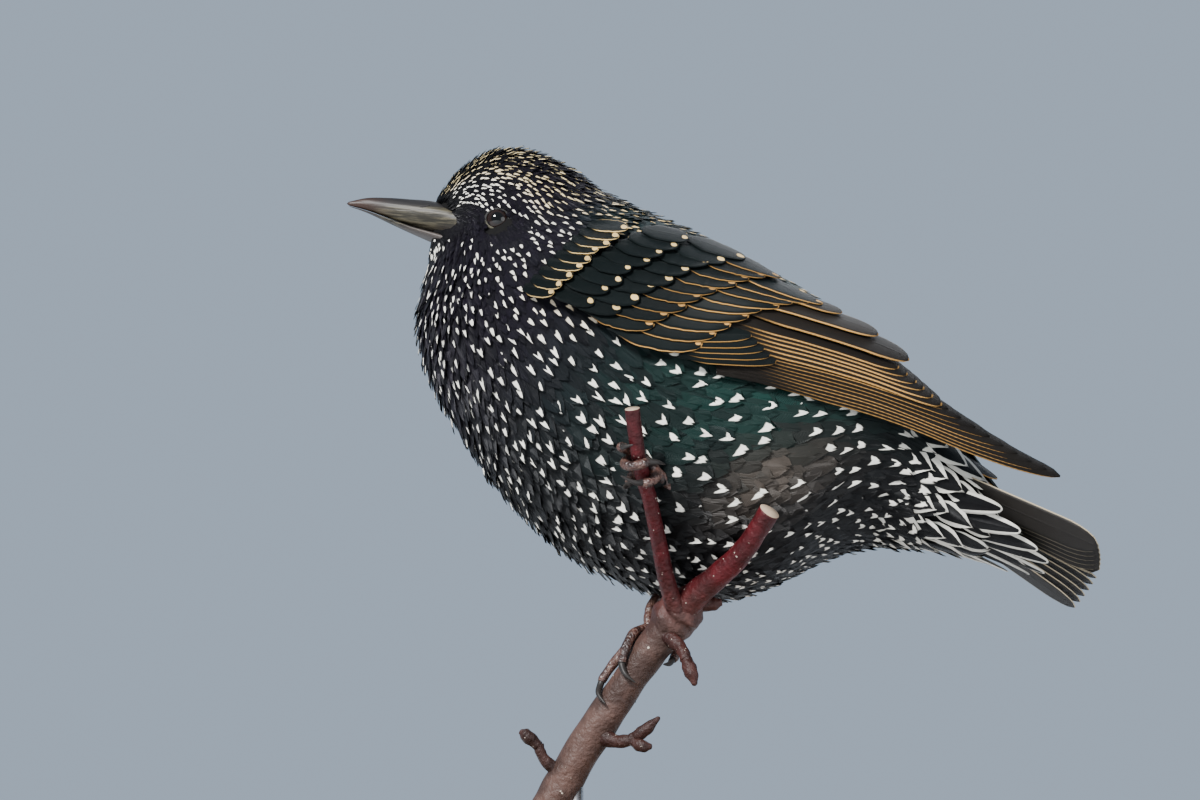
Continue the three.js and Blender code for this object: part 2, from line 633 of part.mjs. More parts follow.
const tight = flesh(CLEAR);
const [skull, neck, torso, rump] = partedFlesh(flesh(0));
const tail = largest(join([rump, ...tailFeathers(), ...tailCoverts()]));
const nearLeg = leg(NEAR_STICK, [14.5, -34.5, -25], [20, -27, -31], NEAR_TOES, tight);
const farLeg = leg(FAR_STICK, [12, -3.4, -51.5], [19, 6, -42], FAR_TOES, tight);
const leftWing = wing();
const root = new THREE.Group();
root.name = "starling";
root.add(
  mesh("head", headWithFace(skull), BLACK, 0.6),
  mesh("neck", neck, BLACK, 0.6),
  mesh("torso", torso, BLACK, 0.6),
  mesh("tail", largest(tail.subtract(partingBlade(...RUMP_CUT))), BROWN, 0.6),
  mesh("bill_upper", billHalf(MOUTH, RIDGE, 0, 0).subtract(join(nostrils())), 0x6d6654, 0.4),
  mesh("bill_lower", largest(billHalf(CHIN, MOUTH, 0, 0).subtract(billHalf(MOUTH, RIDGE, 0, GAP))), 0x5a5548, 0.4),
  mesh("eye_left", eyeBall(-1, EYE_RADIUS), 0x0c0a09, 0.1),
  mesh("eye_right", eyeBall(1, EYE_RADIUS), 0x0c0a09, 0.1),
  mesh("wing_left", leftWing, BROWN, 0.6, roll),
  mesh("wing_right", leftWing, BROWN, 0.6, (p) => roll(V(p.x, -p.y, p.z)), true),
  mesh("leg_left", nearLeg, RED_SKIN, 0.5),
  mesh("leg_right", farLeg, RED_SKIN, 0.5),
  mesh("foot_left", foot(NEAR_STICK, NEAR_TOES, 0), RED_SKIN, 0.5),
  mesh("foot_right", foot(FAR_STICK, FAR_TOES, 0), RED_SKIN, 0.5),
  mesh("perch", perch(), 0x7a4f45, 0.7),
  mesh("stand_base", standBase(), 0x7d6a55, 0.6),
  mesh("stand_rod", standRod(), 0x8c8c8c, 0.4),
);
for (const [side, stick, toes] of [["left", NEAR_STICK, NEAR_TOES], ["right", FAR_STICK, FAR_TOES]]) {
  toes.forEach((toe, i) => root.add(mesh(`claw_${side}_${i + 1}`, claw(stick, toe), 0x3b342e, 0.4)));
}

// The origin is the middle of the underside of the whole object
const box = new THREE.Box3().setFromObject(root);
const shift = box.getCenter(V()).negate();
root.position.set(shift.x, shift.y, -box.min.z);

export default root;
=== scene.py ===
import math

import bmesh
import bpy
import numpy as np
from bpy.props import FloatProperty, FloatVectorProperty, PointerProperty
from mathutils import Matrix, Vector
from mathutils.kdtree import KDTree


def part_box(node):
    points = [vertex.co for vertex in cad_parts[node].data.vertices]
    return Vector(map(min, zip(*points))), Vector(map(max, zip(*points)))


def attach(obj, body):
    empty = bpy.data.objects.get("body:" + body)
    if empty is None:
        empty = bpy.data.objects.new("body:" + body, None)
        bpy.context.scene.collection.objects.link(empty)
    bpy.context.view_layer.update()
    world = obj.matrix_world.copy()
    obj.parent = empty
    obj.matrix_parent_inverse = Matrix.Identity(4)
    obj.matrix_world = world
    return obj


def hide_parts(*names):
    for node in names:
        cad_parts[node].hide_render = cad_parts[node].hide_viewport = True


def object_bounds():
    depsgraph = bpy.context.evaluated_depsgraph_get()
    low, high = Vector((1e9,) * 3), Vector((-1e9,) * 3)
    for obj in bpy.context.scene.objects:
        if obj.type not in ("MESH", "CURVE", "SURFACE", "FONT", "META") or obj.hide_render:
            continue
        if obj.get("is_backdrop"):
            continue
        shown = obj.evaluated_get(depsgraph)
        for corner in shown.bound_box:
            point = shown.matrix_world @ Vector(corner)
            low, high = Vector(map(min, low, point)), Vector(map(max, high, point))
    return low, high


bl_info = {
    "name": "Starling on a perch",
    "version": (1, 0, 0),
    "blender": (4, 5, 0),
    "location": "3D View > Sidebar > Starling",
    "description": "Builds a life-size starling in spotted winter plumage on a cut perch and display stand",
    "category": "Add Mesh",
}

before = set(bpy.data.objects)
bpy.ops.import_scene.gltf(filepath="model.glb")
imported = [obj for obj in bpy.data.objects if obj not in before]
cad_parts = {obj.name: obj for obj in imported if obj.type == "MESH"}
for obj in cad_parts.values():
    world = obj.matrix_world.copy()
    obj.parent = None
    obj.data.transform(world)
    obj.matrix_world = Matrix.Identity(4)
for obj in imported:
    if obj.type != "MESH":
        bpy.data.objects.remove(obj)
CAD_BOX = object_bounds()
BASE_LOW, BASE_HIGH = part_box("stand_base")

# Lengths are in millimetres from a point inside the bird. The board's place ties that point to the frame
BOARD_FROM_BIRD = np.array([16.0, -4.0, -120.0])
BOARD_FOOT = np.array([(BASE_LOW.x + BASE_HIGH.x) / 2, (BASE_LOW.y + BASE_HIGH.y) / 2, BASE_LOW.z])
SHIFT = BOARD_FOOT * 1000 - BOARD_FROM_BIRD

# Sections of the plumage from face to vent: x and z of the belly, x and z of the back, half the width, and
# the share by which the upper half is wider
SECTIONS = np.array([
    [-41.4, 44.4, -41.2, 44.8, 0, 0], [-41.6, 39.6, -41.0, 50.4, 2.4, 0],
    [-42.2, 37.8, -38.6, 53.4, 3.8, 0.1], [-42.4, 36.9, -35.6, 57.3, 5.0, 0.25],
    [-42.5, 36.3, -27.5, 62.6, 7.4, 0.3], [-42.5, 35.4, -19.5, 63.2, 9.8, 0.25],
    [-42.6, 33.8, -10, 59.6, 11.6, 0.15], [-43.1, 31, -4.5, 56, 12.8, 0.05],
    [-43.6, 27.2, 0.5, 52.2, 15.4, 0], [-44.4, 17.6, 11.4, 46.6, 22.5, 0],
    [-41.7, 7, 20, 43, 27.5, 0], [-35.7, -4.2, 28, 39.6, 31, 0],
    [-23.8, -21.8, 38, 34.6, 33.5, 0], [-6.3, -38, 50, 28, 34.5, 0],
    [12, -46.3, 60, 21.5, 33.5, 0], [28.4, -48.8, 68, 15.5, 31, 0],
    [42, -45, 75, 8.5, 27, 0], [54, -38.5, 81, 0.5, 22.5, 0],
    [66, -35, 87, -8, 18, 0], [80, -36.5, 93, -17.5, 13.5, 0],
    [91, -38.5, 98, -27, 8, 0], [96.5, -35, 97, -34, 0, 0],
])
BELLY = SECTIONS[:, [0, 1, 4]]
BACK = SECTIONS[:, [2, 3, 5]]
# The hind part leans over by this turn, which grows from the breast to the rump
ROLL = math.radians(21)
ROLL_START, ROLL_END = 0, 80
# Feathers stand on this stretch from face to vent, where the whole way is 1
COAT_START, COAT_END = 0.035, 0.985
# Middle of the right eye; the left one mirrors it
EYE = np.array([-25.0, 9.9, 42.6])
EYE_RADIUS = 3.3
# Thickness of flight feathers in metres
VANE_DEPTH = 0.00025
# The photo's view: how far the camera is from the bird, its tilt upwards and its scale at the bird's middle
CAMERA_DISTANCE = 560.0
CAMERA_TILT = math.radians(11)
SENSOR = 36.0
PHOTO_WIDTH = 1200
MM_PER_PIXEL = 0.245
# Draws for the feathers of wings and tail
RNG = np.random.default_rng(11)


def colour(name, description, default):
    """A colour that the user can change"""
    return FloatVectorProperty(name=name, description=description, default=default, subtype="COLOR", min=0,
                               max=1)


class StarlingPlumage(bpy.types.PropertyGroup):
    """Sizes and colours of the feathers"""

    black: colour("Black", "Ground colour of the body feathers", (0.0036, 0.0036, 0.0043))
    white_spot: colour("White spots", "Tips of the feathers of face, breast and flank", (0.86, 0.83, 0.74))
    buff_spot: colour("Buff spots", "Tips of the feathers of crown, nape and back", (0.72, 0.50, 0.21))
    gold_edge: colour("Golden edges", "Edges of the wing feathers", (0.46, 0.25, 0.075))
    green: colour("Green gloss", "Gloss of flank and back", (0.002, 0.032, 0.024))
    purple: colour("Purple gloss", "Gloss of cheek, nape and breast", (0.0055, 0.0028, 0.0085))
    coat_depth: FloatProperty(name="Coat depth", description="How far the skin lies inside the plumage",
                              subtype="DISTANCE", unit="LENGTH", default=0.0013, min=0.0, max=0.005)
    density: FloatProperty(name="Density", description="How close the body feathers stand; 1 is life-like",
                           default=1.0, min=0.2, max=1.5)


class StarlingParts(bpy.types.PropertyGroup):
    """Colours of bill, eyes, feet, perch and stand"""

    iris: colour("Iris", "Dark brown iris", (0.008, 0.004, 0.003))
    bill_side: colour("Bill side", "Olive horn of the bill's sides", (0.022, 0.019, 0.012))
    bill_ridge: colour("Bill ridge", "Dark horn of the bill's ridge", (0.010, 0.009, 0.009))
    foot: colour("Feet", "Red-brown skin of the feet", (0.040, 0.013, 0.009))
    claw: colour("Claws", "Dark horn of the claws", (0.012, 0.010, 0.009))
    bark: colour("Bark", "Pinkish brown bark of the thick branch", (0.052, 0.029, 0.023))
    twig: colour("Twigs", "Dark red bark of the young twigs", (0.040, 0.0020, 0.0036))
    board: colour("Board", "Wood of the display stand", (0.22, 0.13, 0.07))


# Curves and surfaces

def chord(p, q):
    """Root of the distance between points, which spaces a centripetal spline"""
    return np.maximum(((q - p) ** 2).sum(-1, keepdims=True) ** 0.25, 1e-4)


def spline(points, s):
    """Centripetal spline through points, at s from 0 to 1 with equal room for each span"""
    points = np.asarray(points, float)
    count = len(points) - 1
    whole = np.clip(np.asarray(s, float), 0, 1) * count
    i = np.minimum(whole.astype(int), count - 1)
    w = (whole - i)[..., None]
    padded = np.vstack([2 * points[0] - points[1], points, 2 * points[-1] - points[-2]])
    a, b, c, d = (padded[i + k] for k in range(4))
    before, span, after = chord(a, b), chord(b, c), chord(c, d)
    start = ((b - a) / before - (c - a) / (before + span) + (c - b) / span) * span
    end = ((c - b) / span - (d - b) / (span + after) + (d - c) / after) * span
    return b + start * w + (3 * (c - b) - 2 * start - end) * w ** 2 + (2 * (b - c) + start + end) * w ** 3


def smooth(x, low, high):
    """Soft step from 0 at low to 1 at high"""
    w = np.clip((np.asarray(x, float) - low) / (high - low), 0, 1)
    return w * w * (3 - 2 * w)


def table(x, *pairs):
    """Value at x of a line through (x, value) pairs"""
    return np.interp(x, [p[0] for p in pairs], [p[1] for p in pairs])


def patch(x, z, middle, size, power=2):
    """1 in the middle of an oval patch of the side view and 0 well outside it"""
    return np.exp(-((x - middle[0]) / size[0]) ** power - ((z - middle[1]) / size[1]) ** power)


def unit(p):
    """Vectors of length 1"""
    return p / np.linalg.norm(p, axis=-1, keepdims=True)


def column(values):
    """One value for each vane, ready to meet the grid of a vane"""
    return np.asarray(values, float).reshape(-1, 1, 1)


def metres(p):
    """From millimetres about the bird's middle to the frame"""
    return (np.asarray(p, float) + SHIFT) / 1000


def roll(p):
    """Leans the hind part of the bird over on its own long axis"""
    turn = ROLL * smooth(p[..., 0], ROLL_START, ROLL_END)
    axis = 8 - 0.36 * p[..., 0]
    up = p[..., 2] - axis
    y = p[..., 1] * np.cos(turn) + up * np.sin(turn)
    z = axis - p[..., 1] * np.sin(turn) + up * np.cos(turn)
    return np.stack([p[..., 0], y, z], -1)


def flesh(t, turn, grow=0.0):
    """Point of the plumage's outline, before the roll: t runs from face to vent, turn 0 is the back"""
    t, turn, grow = np.broadcast_arrays(np.asarray(t, float), turn, grow)
    belly = spline(BELLY, t)
    back = spline(BACK, t)
    half = (back[..., :2] - belly[..., :2]) / 2
    middle = (back[..., :2] + belly[..., :2]) / 2
    long = np.maximum(np.hypot(half[..., 0], half[..., 1]), 1)
    tall = np.maximum(1 + grow / long, 0)
    wide = np.maximum(belly[..., 2] + grow, 0) * (1 + back[..., 2] * np.cos(turn))
    flat = middle + half * (tall * np.cos(turn))[..., None]
    lores = 0.36 * patch(flat[..., 0], flat[..., 1], (-37, 42.5), (4.5, 4))
    return np.stack([flat[..., 0], wide * np.sin(turn) * (1 - lores), flat[..., 1]], -1)


def at(values, i):
    """Item i along the last axis"""
    return np.take_along_axis(values, i[..., None], -1)[..., 0]


def flank(x, z):
    """Half width of the unrolled body at points of its side view, from the sections on both sides of them"""
    s = np.linspace(0.09, 1, 84)
    belly = spline(BELLY, s)
    back = spline(BACK, s)
    run = back[:, :2] - belly[:, :2]
    long = np.hypot(run[:, 0], run[:, 1])
    px = np.asarray(x)[..., None] - belly[:, 0]
    pz = np.asarray(z)[..., None] - belly[:, 1]
    off = (run[:, 0] * pz - run[:, 1] * px) / long
    along = (run[:, 0] * px + run[:, 1] * pz) / long ** 2
    cross = (off[..., :-1] < 0) & (off[..., 1:] >= 0)
    i = np.argmax(cross, -1)
    before, after = at(off, i), at(off, i + 1)
    k = before / np.where(before == after, 1, before - after)
    h = 2 * (at(along, i) * (1 - k) + at(along, i + 1) * k) - 1
    wide = belly[:, 2][i] * (1 - k) + belly[:, 2][i + 1] * k
    return np.where(cross.any(-1), wide * np.sqrt(np.maximum(1 - h * h, 0)), 0)


def wing_face(x, z):
    """Distance of the folded wing's outer face from the middle plane"""
    wrist, tip = 34.5, 21.5
    wide = wrist + (tip - wrist) * smooth(x, 35, 112)
    h = np.clip((z + 8 + 0.24 * (x - 40)) / 38, -0.95, 0.95)
    far = smooth(x, 34, 62)
    # The leading edge lies close to the neck
    inward = smooth(0.75 * (x + 18) - 0.66 * (z - 21.5), -1, 9)
    return (flank(x, z) + 0.5 + 2.9 * inward) * (1 - far) + wide * np.sqrt(1 - h * h) * far


# Building blocks

def to_mesh(bm):
    """A mesh from a finished bmesh; add_object gives it its name"""
    mesh = bpy.data.meshes.new("shape")
    bm.to_mesh(mesh)
    bm.free()
    return mesh


def add_object(name, mesh, material, slot, *nodes):
    """Links a finished mesh, lets it ride on the one body and hides the nodes it stands for"""
    mesh.name = name
    made = bpy.data.objects.new(name, mesh)
    bpy.context.scene.collection.objects.link(made)
    mesh.materials.append(material)
    mesh.shade_smooth()
    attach(made, "root")
    if nodes:
        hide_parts(*nodes)
    return made


def sphere_mesh(around, along, place):
    """A closed mesh from a sphere's grid; place takes ring and turn and gives points in millimetres"""
    bm = bmesh.new()
    bmesh.ops.create_uvsphere(bm, u_segments=around, v_segments=along, radius=1)
    co = np.array([v.co for v in bm.verts])
    ring = np.rint(np.arccos(np.clip(co[:, 2], -1, 1)) / math.pi * along).astype(int)
    turn = np.arctan2(co[:, 1], co[:, 0])
    for vert, p in zip(bm.verts, metres(place(ring, turn))):
        vert.co = p
    bmesh.ops.recalc_face_normals(bm, faces=bm.faces)
    return to_mesh(bm)


def even(s, turn):
    """No swelling along a limb"""
    return 1.0


def limb_mesh(points, radii, around, along, swell=even, cut=False):
    """A round rod of changing thickness along a curve, with domed ends, or with cuts in a second material"""
    # The turn round a limb starts from this direction, which no limb runs along
    guide = np.array([0.31, -0.55, 0.77])
    radii = np.array([[i, r, 0] for i, r in enumerate(radii)], float)

    def place(ring, turn):
        from_end = np.minimum(ring, along - ring)
        if cut:
            s = np.clip((ring - 1) / (along - 2), 0, 1)
            cap = np.where(from_end == 0, 0, 1)
        else:
            s = table(from_end, (0, 0), (3, 0.05), (along / 2, 0.5))
            s = np.where(ring < along / 2, s, 1 - s)
            cap = table(from_end, (0, 0), (1, 0.62), (2, 0.88), (3, 1), (99, 1))
        tangent = unit(spline(points, np.clip(s + 0.01, 0, 1)) - spline(points, np.clip(s - 0.01, 0, 1)))
        one = unit(np.cross(tangent, guide))
        two = np.cross(tangent, one)
        r = spline(radii, s)[:, 1] * cap * swell(s, turn)
        return spline(points, s) + one * (r * np.cos(turn))[:, None] + two * (r * np.sin(turn))[:, None]

    mesh = sphere_mesh(around, along, place)
    if cut:
        for face in mesh.polygons:
            face.material_index = int(len(face.vertices) == 3)
    return mesh


def join_meshes(meshes):
    """One mesh from several"""
    bm = bmesh.new()
    for mesh in meshes:
        bm.from_mesh(mesh)
        bpy.data.meshes.remove(mesh)
    return to_mesh(bm)


class Vanes:
    """Gathers many feather vanes, each a small grid, and makes one mesh of them"""

    def __init__(self, across, along):
        self.across, self.along = across, along
        self.points, self.marks, self.homes = [], [], []

    def grid(self):
        """Places on a vane: u from -1 to 1 across it, v from 0 at the root to 1 at the tip"""
        return np.meshgrid(np.linspace(-1, 1, self.across + 1), np.linspace(0, 1, self.along + 1))

    def add(self, points, marks, homes):
        """points: n x rows x columns x 3 in mm; marks: dict of n x 3; homes: n x 2 places on the unwrap"""
        self.points.append(points)
        self.marks.append(marks)
        self.homes.append(homes)

    def mesh(self):
        """The mesh of all vanes, with the map of a vane, the unwrap and the marks"""
        points = np.concatenate(self.points)
        homes = np.concatenate(self.homes)
        count, rows, columns = points.shape[:3]
        each = rows * columns
        corner = np.arange(each).reshape(rows, columns)
        quad = [corner[:-1, :-1], corner[:-1, 1:], corner[1:, 1:], corner[1:, :-1]]
        faces = (np.arange(count)[:, None, None] * each + np.stack(quad, -1).reshape(-1, 4)).reshape(-1, 4)
        loops = faces.ravel()
        mesh = bpy.data.meshes.new("vanes")
        mesh.vertices.add(count * each)
        mesh.vertices.foreach_set("co", metres(points).astype(np.float32).ravel())
        mesh.loops.add(faces.size)
        mesh.loops.foreach_set("vertex_index", loops.astype(np.int32))
        mesh.polygons.add(len(faces))
        mesh.polygons.foreach_set("loop_start", np.arange(0, faces.size, 4, dtype=np.int32))
        mesh.update()
        u, v = self.grid()
        vane = np.stack([(u + 1) / 2, v], -1).reshape(-1, 2)[loops % each]
        unwrap = np.clip(homes[loops // each] + (vane - 0.5) * 0.003, 0.001, 0.999)
        for name, places in (("Vane", vane), ("OFBake", unwrap)):
            mesh.uv_layers.new(name=name).uv.foreach_set("vector", places.astype(np.float32).ravel())
        for key in self.marks[0]:
            values = np.repeat(np.concatenate([marks[key] for marks in self.marks]), each, 0)
            attribute = mesh.attributes.new(key, "FLOAT_VECTOR", "POINT")
            attribute.data.foreach_set("vector", values.astype(np.float32).ravel())
        mesh.validate()
        return mesh


def home_row(count, u, v):
    """Places on the unwrap for a row of vanes"""
    return np.stack([np.linspace(u, u + 0.05, count), np.full(count, v)], -1)


def thicken(made):
    """Gives thin vanes their thickness"""
    solidify = made.modifiers.new("Thickness", "SOLIDIFY")
    solidify.thickness = VANE_DEPTH
    solidify.offset = 0


# Materials

def tint(colour, share):
    """A darker or lighter colour"""
    return tuple(share * c for c in colour)


class Finish:
    """One material, with short calls for the nodes that draw it"""

    def __init__(self, name, roughness, metallic=0.0, specular=0.5):
        self.material = bpy.data.materials.new(name)
        self.material.use_nodes = True
        self.tree = self.material.node_tree
        self.shader = self.tree.nodes["Principled BSDF"]
        self.give("Roughness", roughness)
        self.give("Metallic", metallic)
        self.give("Specular IOR Level", specular)

    def feed(self, socket, value):
        """Links a socket to another node, or gives it a number, a vector or a colour"""
        if isinstance(value, bpy.types.NodeSocket):
            self.tree.links.new(value, socket)
        elif socket.type == "RGBA":
            socket.default_value = (*value, 1)
        else:
            socket.default_value = value

    def give(self, name, value):
        """Feeds one input of the shader"""
        self.feed(self.shader.inputs[name], value)

    def node(self, kind, inputs, **settings):
        """Outputs of a new node with these settings and inputs"""
        made = self.tree.nodes.new("ShaderNode" + kind)
        for key, value in settings.items():
            setattr(made, key, value)
        for key, value in inputs.items():
            self.feed(made.inputs[key], value)
        return made.outputs

    def math(self, operation, *values, clamp=False):
        """A Math node"""
        return self.node("Math", dict(enumerate(values)), operation=operation, use_clamp=clamp)[0]

    def plus(self, a, b):
        """a + b"""
        return self.math("ADD", a, b)

    def minus(self, a, b):
        """a - b"""
        return self.math("SUBTRACT", a, b)

    def times(self, a, b):
        """a * b"""
        return self.math("MULTIPLY", a, b)

    def times_plus(self, a, b, c):
        """a * b + c"""
        return self.math("MULTIPLY_ADD", a, b, c)

    def step(self, value, low, high):
        """Soft step from 0 at low to 1 at high"""
        inputs = {"Value": value, "From Min": low, "From Max": high}
        return self.node("MapRange", inputs, interpolation_type="SMOOTHSTEP")[0]

    def mix(self, factor, a, b):
        """Colour between a and b"""
        return self.node("Mix", {"Factor": factor, "A": a, "B": b}, data_type="RGBA")["Result"]

    def dim(self, colour, factor):
        """A colour times a value"""
        return self.node("VectorMath", {0: colour, "Scale": factor}, operation="SCALE")[0]

    def attribute(self, name, output="Color"):
        """A point attribute of the mesh"""
        return self.node("Attribute", {}, attribute_name=name)[output]

    def split(self, vector):
        """The three parts of a vector"""
        return self.node("SeparateXYZ", {0: vector})

    def place(self):
        """Place on the piece in the frame's own metres"""
        return self.node("TexCoord", {})["Object"]

    def scaled(self, vector, scale, turn=0.0):
        """A place stretched, then turned about the y axis"""
        inputs = {"Vector": vector, "Scale": scale, "Rotation": (0, turn, 0)}
        return self.node("Mapping", inputs, vector_type="POINT")[0]

    def noise(self, vector, scale, detail=3.0, rough=0.5):
        """Soft random values"""
        inputs = {"Vector": vector, "Scale": scale, "Detail": detail, "Roughness": rough}
        return self.node("TexNoise", inputs)["Fac"]

    def cells(self, vector, scale, feature="F1"):
        """Distance to the middle or to the edge of random cells"""
        return self.node("TexVoronoi", {"Vector": vector, "Scale": scale}, feature=feature)["Distance"]

    def bump(self, height, depth, strength):
        """Raises the surface by a height"""
        inputs = {"Strength": strength, "Distance": depth, "Height": height}
        self.give("Normal", self.node("Bump", inputs)[0])


def spot_mask(n, side, v):
    """The spot near a feather's tip: notched, or oval where its third number is below 0"""
    wide, low, shape = n.split(n.attribute("spot", "Vector"))
    reach = n.math("DIVIDE", side, n.math("MAXIMUM", wide, 0.001))
    above = n.minus(v, n.plus(low, n.times(shape, n.minus(1.0, reach))))
    notched = n.times(n.step(above, -0.012, 0.02), n.step(reach, 1.08, 0.86))
    notched = n.times(notched, n.step(v, 0.995, 0.955))
    tall = n.math("DIVIDE", n.minus(v, low), n.math("MINIMUM", shape, -0.001))
    oval = n.step(n.plus(n.times(tall, tall), n.times(reach, reach)), 1.15, 0.85)
    return n.times_plus(n.math("LESS_THAN", shape, -0.001), n.minus(oval, notched), notched)


def rim_mask(n, across, v):
    """Pale edges of a feather, wider towards the tip"""
    left, right, tip = n.split(n.attribute("edge", "Vector"))
    spread = n.times(n.minus(v, 0.6), 3.0)
    left = n.times(left, n.times_plus(spread, left, 1.0))
    right = n.times(right, n.times_plus(spread, right, 1.0))
    low = n.step(across, n.minus(left, 1.0), n.minus(left, 1.06))
    high = n.step(across, n.minus(1.0, right), n.minus(1.06, right))
    end = n.step(v, n.minus(1.0, tip), n.minus(1.015, tip))
    return n.times(n.math("MAXIMUM", low, n.math("MAXIMUM", high, end)), n.step(v, 0.1, 0.3))


def feather_material(name, roughness, metallic, specular, barbs):
    """Vanes: ground colour, spot and pale edges by the vane's own map, and the lines of the barbs"""
    n = Finish(name, roughness, metallic, specular)
    u, v, _ = n.split(n.node("UVMap", {}, uv_map="Vane")[0])
    across = n.times_plus(u, 2.0, -1.0)
    side = n.math("ABSOLUTE", across)
    mask = n.math("MAXIMUM", spot_mask(n, side, v), rim_mask(n, across, v), clamp=True)
    lines = n.math("SINE", n.times(n.minus(v, n.times(side, 0.22)), barbs))
    quill = n.step(side, 0.06, 0.02)
    colours = n.mix(mask, n.attribute("ground"), n.attribute("mark"))
    n.give("Base Color", n.dim(colours, n.times_plus(lines, 0.10, 0.95)))
    n.give("Metallic", n.times(n.minus(1.0, mask), metallic))
    n.bump(n.plus(lines, n.times(quill, 3.0)), 0.00012, 0.6)
    return n.material


def skin_material(plumage):
    """Dark under-plumage with the soft shade of down"""
    n = Finish("Under plumage", 0.9, specular=0.1)
    n.give("Base Color", n.mix(n.noise(n.place(), 900.0), tint(plumage.black, 0.4), (0.005, 0.0046, 0.0042)))
    return n.material


def horn_material(parts):
    """Bill: dark ridge, olive sides with fine lengthwise streaks, red-brown tip"""
    n = Finish("Bill horn", 0.45, specular=0.22)
    place = n.place()
    x, _, z = n.split(place)
    streak = n.noise(n.scaled(n.scaled(place, (1, 1, 1), -0.14), (70, 500, 1300)), 1.0, 4)
    base_x, _, base_z = (float(c) for c in metres([-42.0, 0, 48.5]))
    ahead = n.minus(base_x, x)
    line = n.times_plus(ahead, 0.10, base_z - 0.0004)
    high = n.minus(n.times_plus(streak, 0.0012, z), line)
    sides = n.mix(n.step(streak, 0.40, 0.60), tint(parts.bill_side, 0.45), tint(parts.bill_side, 2.1))
    sides = n.mix(n.step(n.minus(line, z), 0.004, 0.007), sides, (0.050, 0.041, 0.037))
    colours = n.mix(n.step(high, 0.0, 0.0012), sides, parts.bill_ridge)
    n.give("Base Color", n.mix(n.step(ahead, 0.008, 0.0195), colours, (0.020, 0.009, 0.006)))
    n.bump(streak, 0.0003, 0.5)
    return n.material


def lid_material():
    """Black bare skin with an olive arc under the eye"""
    n = Finish("Lid skin", 0.6, specular=0.25)
    place = n.place()
    x, _, z = n.split(place)
    eye_x, _, eye_z = (float(c) for c in metres(EYE))
    wide, tall = n.minus(x, eye_x), n.minus(z, eye_z)
    far = n.math("SQRT", n.plus(n.times(wide, wide), n.times(tall, tall)))
    arc = n.times(n.step(far, 0.0031, 0.0028), n.step(tall, 0.0002, -0.0016))
    grain = n.noise(place, 2500.0)
    dark = n.mix(grain, (0.0025, 0.0022, 0.002), (0.009, 0.008, 0.0075))
    n.give("Base Color", n.mix(arc, dark, (0.045, 0.041, 0.026)))
    n.bump(grain, 0.0003, 0.8)
    return n.material


def eye_material(name, front, iris):
    """Black pupil round the foremost point of the eye, and the iris"""
    n = Finish(name, 0.05, specular=0.3)
    off = n.node("VectorMath", {0: n.place(), 1: tuple(front)}, operation="DISTANCE")["Value"]
    n.give("Base Color", n.mix(n.step(off, 0.00145, 0.0017), (0.002, 0.002, 0.002), iris))
    return n.material


def scale_material(colour):
    """Feet: red-brown scutes with pale edges"""
    n = Finish("Foot skin", 0.45)
    place = n.place()
    cell = n.cells(place, 1000.0, "DISTANCE_TO_EDGE")
    scutes = n.mix(n.step(cell, 0.10, 0.03), colour, (0.085, 0.046, 0.033))
    n.give("Base Color", n.mix(n.step(n.noise(place, 420.0), 0.45, 0.65), scutes, tint(colour, 0.35)))
    n.bump(cell, 0.0005, 0.8)
    return n.material


def plain_material(name, colour, roughness, metallic=0.0, grain=600.0, spread=0.35, specular=0.5):
    """One finish with a little grain in it"""
    n = Finish(name, roughness, metallic, specular)
    grain = n.noise(n.place(), grain)
    n.give("Base Color", n.mix(grain, tint(colour, 1 - spread), tint(colour, 1 + spread)))
    return n.material


def bark_material(name, low, high, fade, dots):
    """Smooth bark with small pale lenticels, that changes colour over a range of heights"""
    n = Finish(name, 0.5, specular=0.2)
    place = n.place()
    patches = n.noise(place, 180.0, 5)
    # The height of the change of colour wavers by this much
    waver = 8.0
    height = n.times_plus(patches, waver / 1000, n.split(place)["Z"])
    base = n.mix(n.step(height, *(float(metres([0, 0, z + waver / 2])[2]) for z in fade)), low, high)
    base = n.dim(base, n.times_plus(n.step(patches, 0.35, 0.7), 0.75, 0.6))
    dot = n.step(n.cells(place, dots), 0.17, 0.10)
    lenticel = n.times(dot, n.step(n.noise(place, dots * 0.6), 0.53, 0.58))
    n.give("Base Color", n.mix(lenticel, base, (0.36, 0.30, 0.25)))
    n.bump(n.plus(n.noise(place, 900.0, 4), n.times(lenticel, 0.8)), 0.0006, 0.9)
    return n.material


def wood_material(colour):
    """Oiled wood with long grain"""
    n = Finish("Board wood", 0.42)
    place = n.place()
    rings = n.noise(n.scaled(place, (9, 130, 130)), 1.0, 6, 0.65)
    pores = n.noise(n.scaled(place, (60, 1500, 1500)), 1.0, 2)
    base = n.mix(n.step(rings, 0.35, 0.65), tint(colour, 0.62), tint(colour, 1.3))
    n.give("Base Color", n.mix(n.step(pores, 0.6, 0.75), base, tint(colour, 0.35)))
    n.bump(rings, 0.0002, 0.3)
    return n.material


# Body feathers

def outline_width(v, power):
    """Width of a body feather along its shaft; a high power gives it a sharper point"""
    tip = np.clip(1 - ((v - 0.55) / 0.46) ** 2 * (v > 0.55), 0.004, 1)
    return np.sqrt(np.clip(v / 0.35, 0.12, 1)) * tip ** power


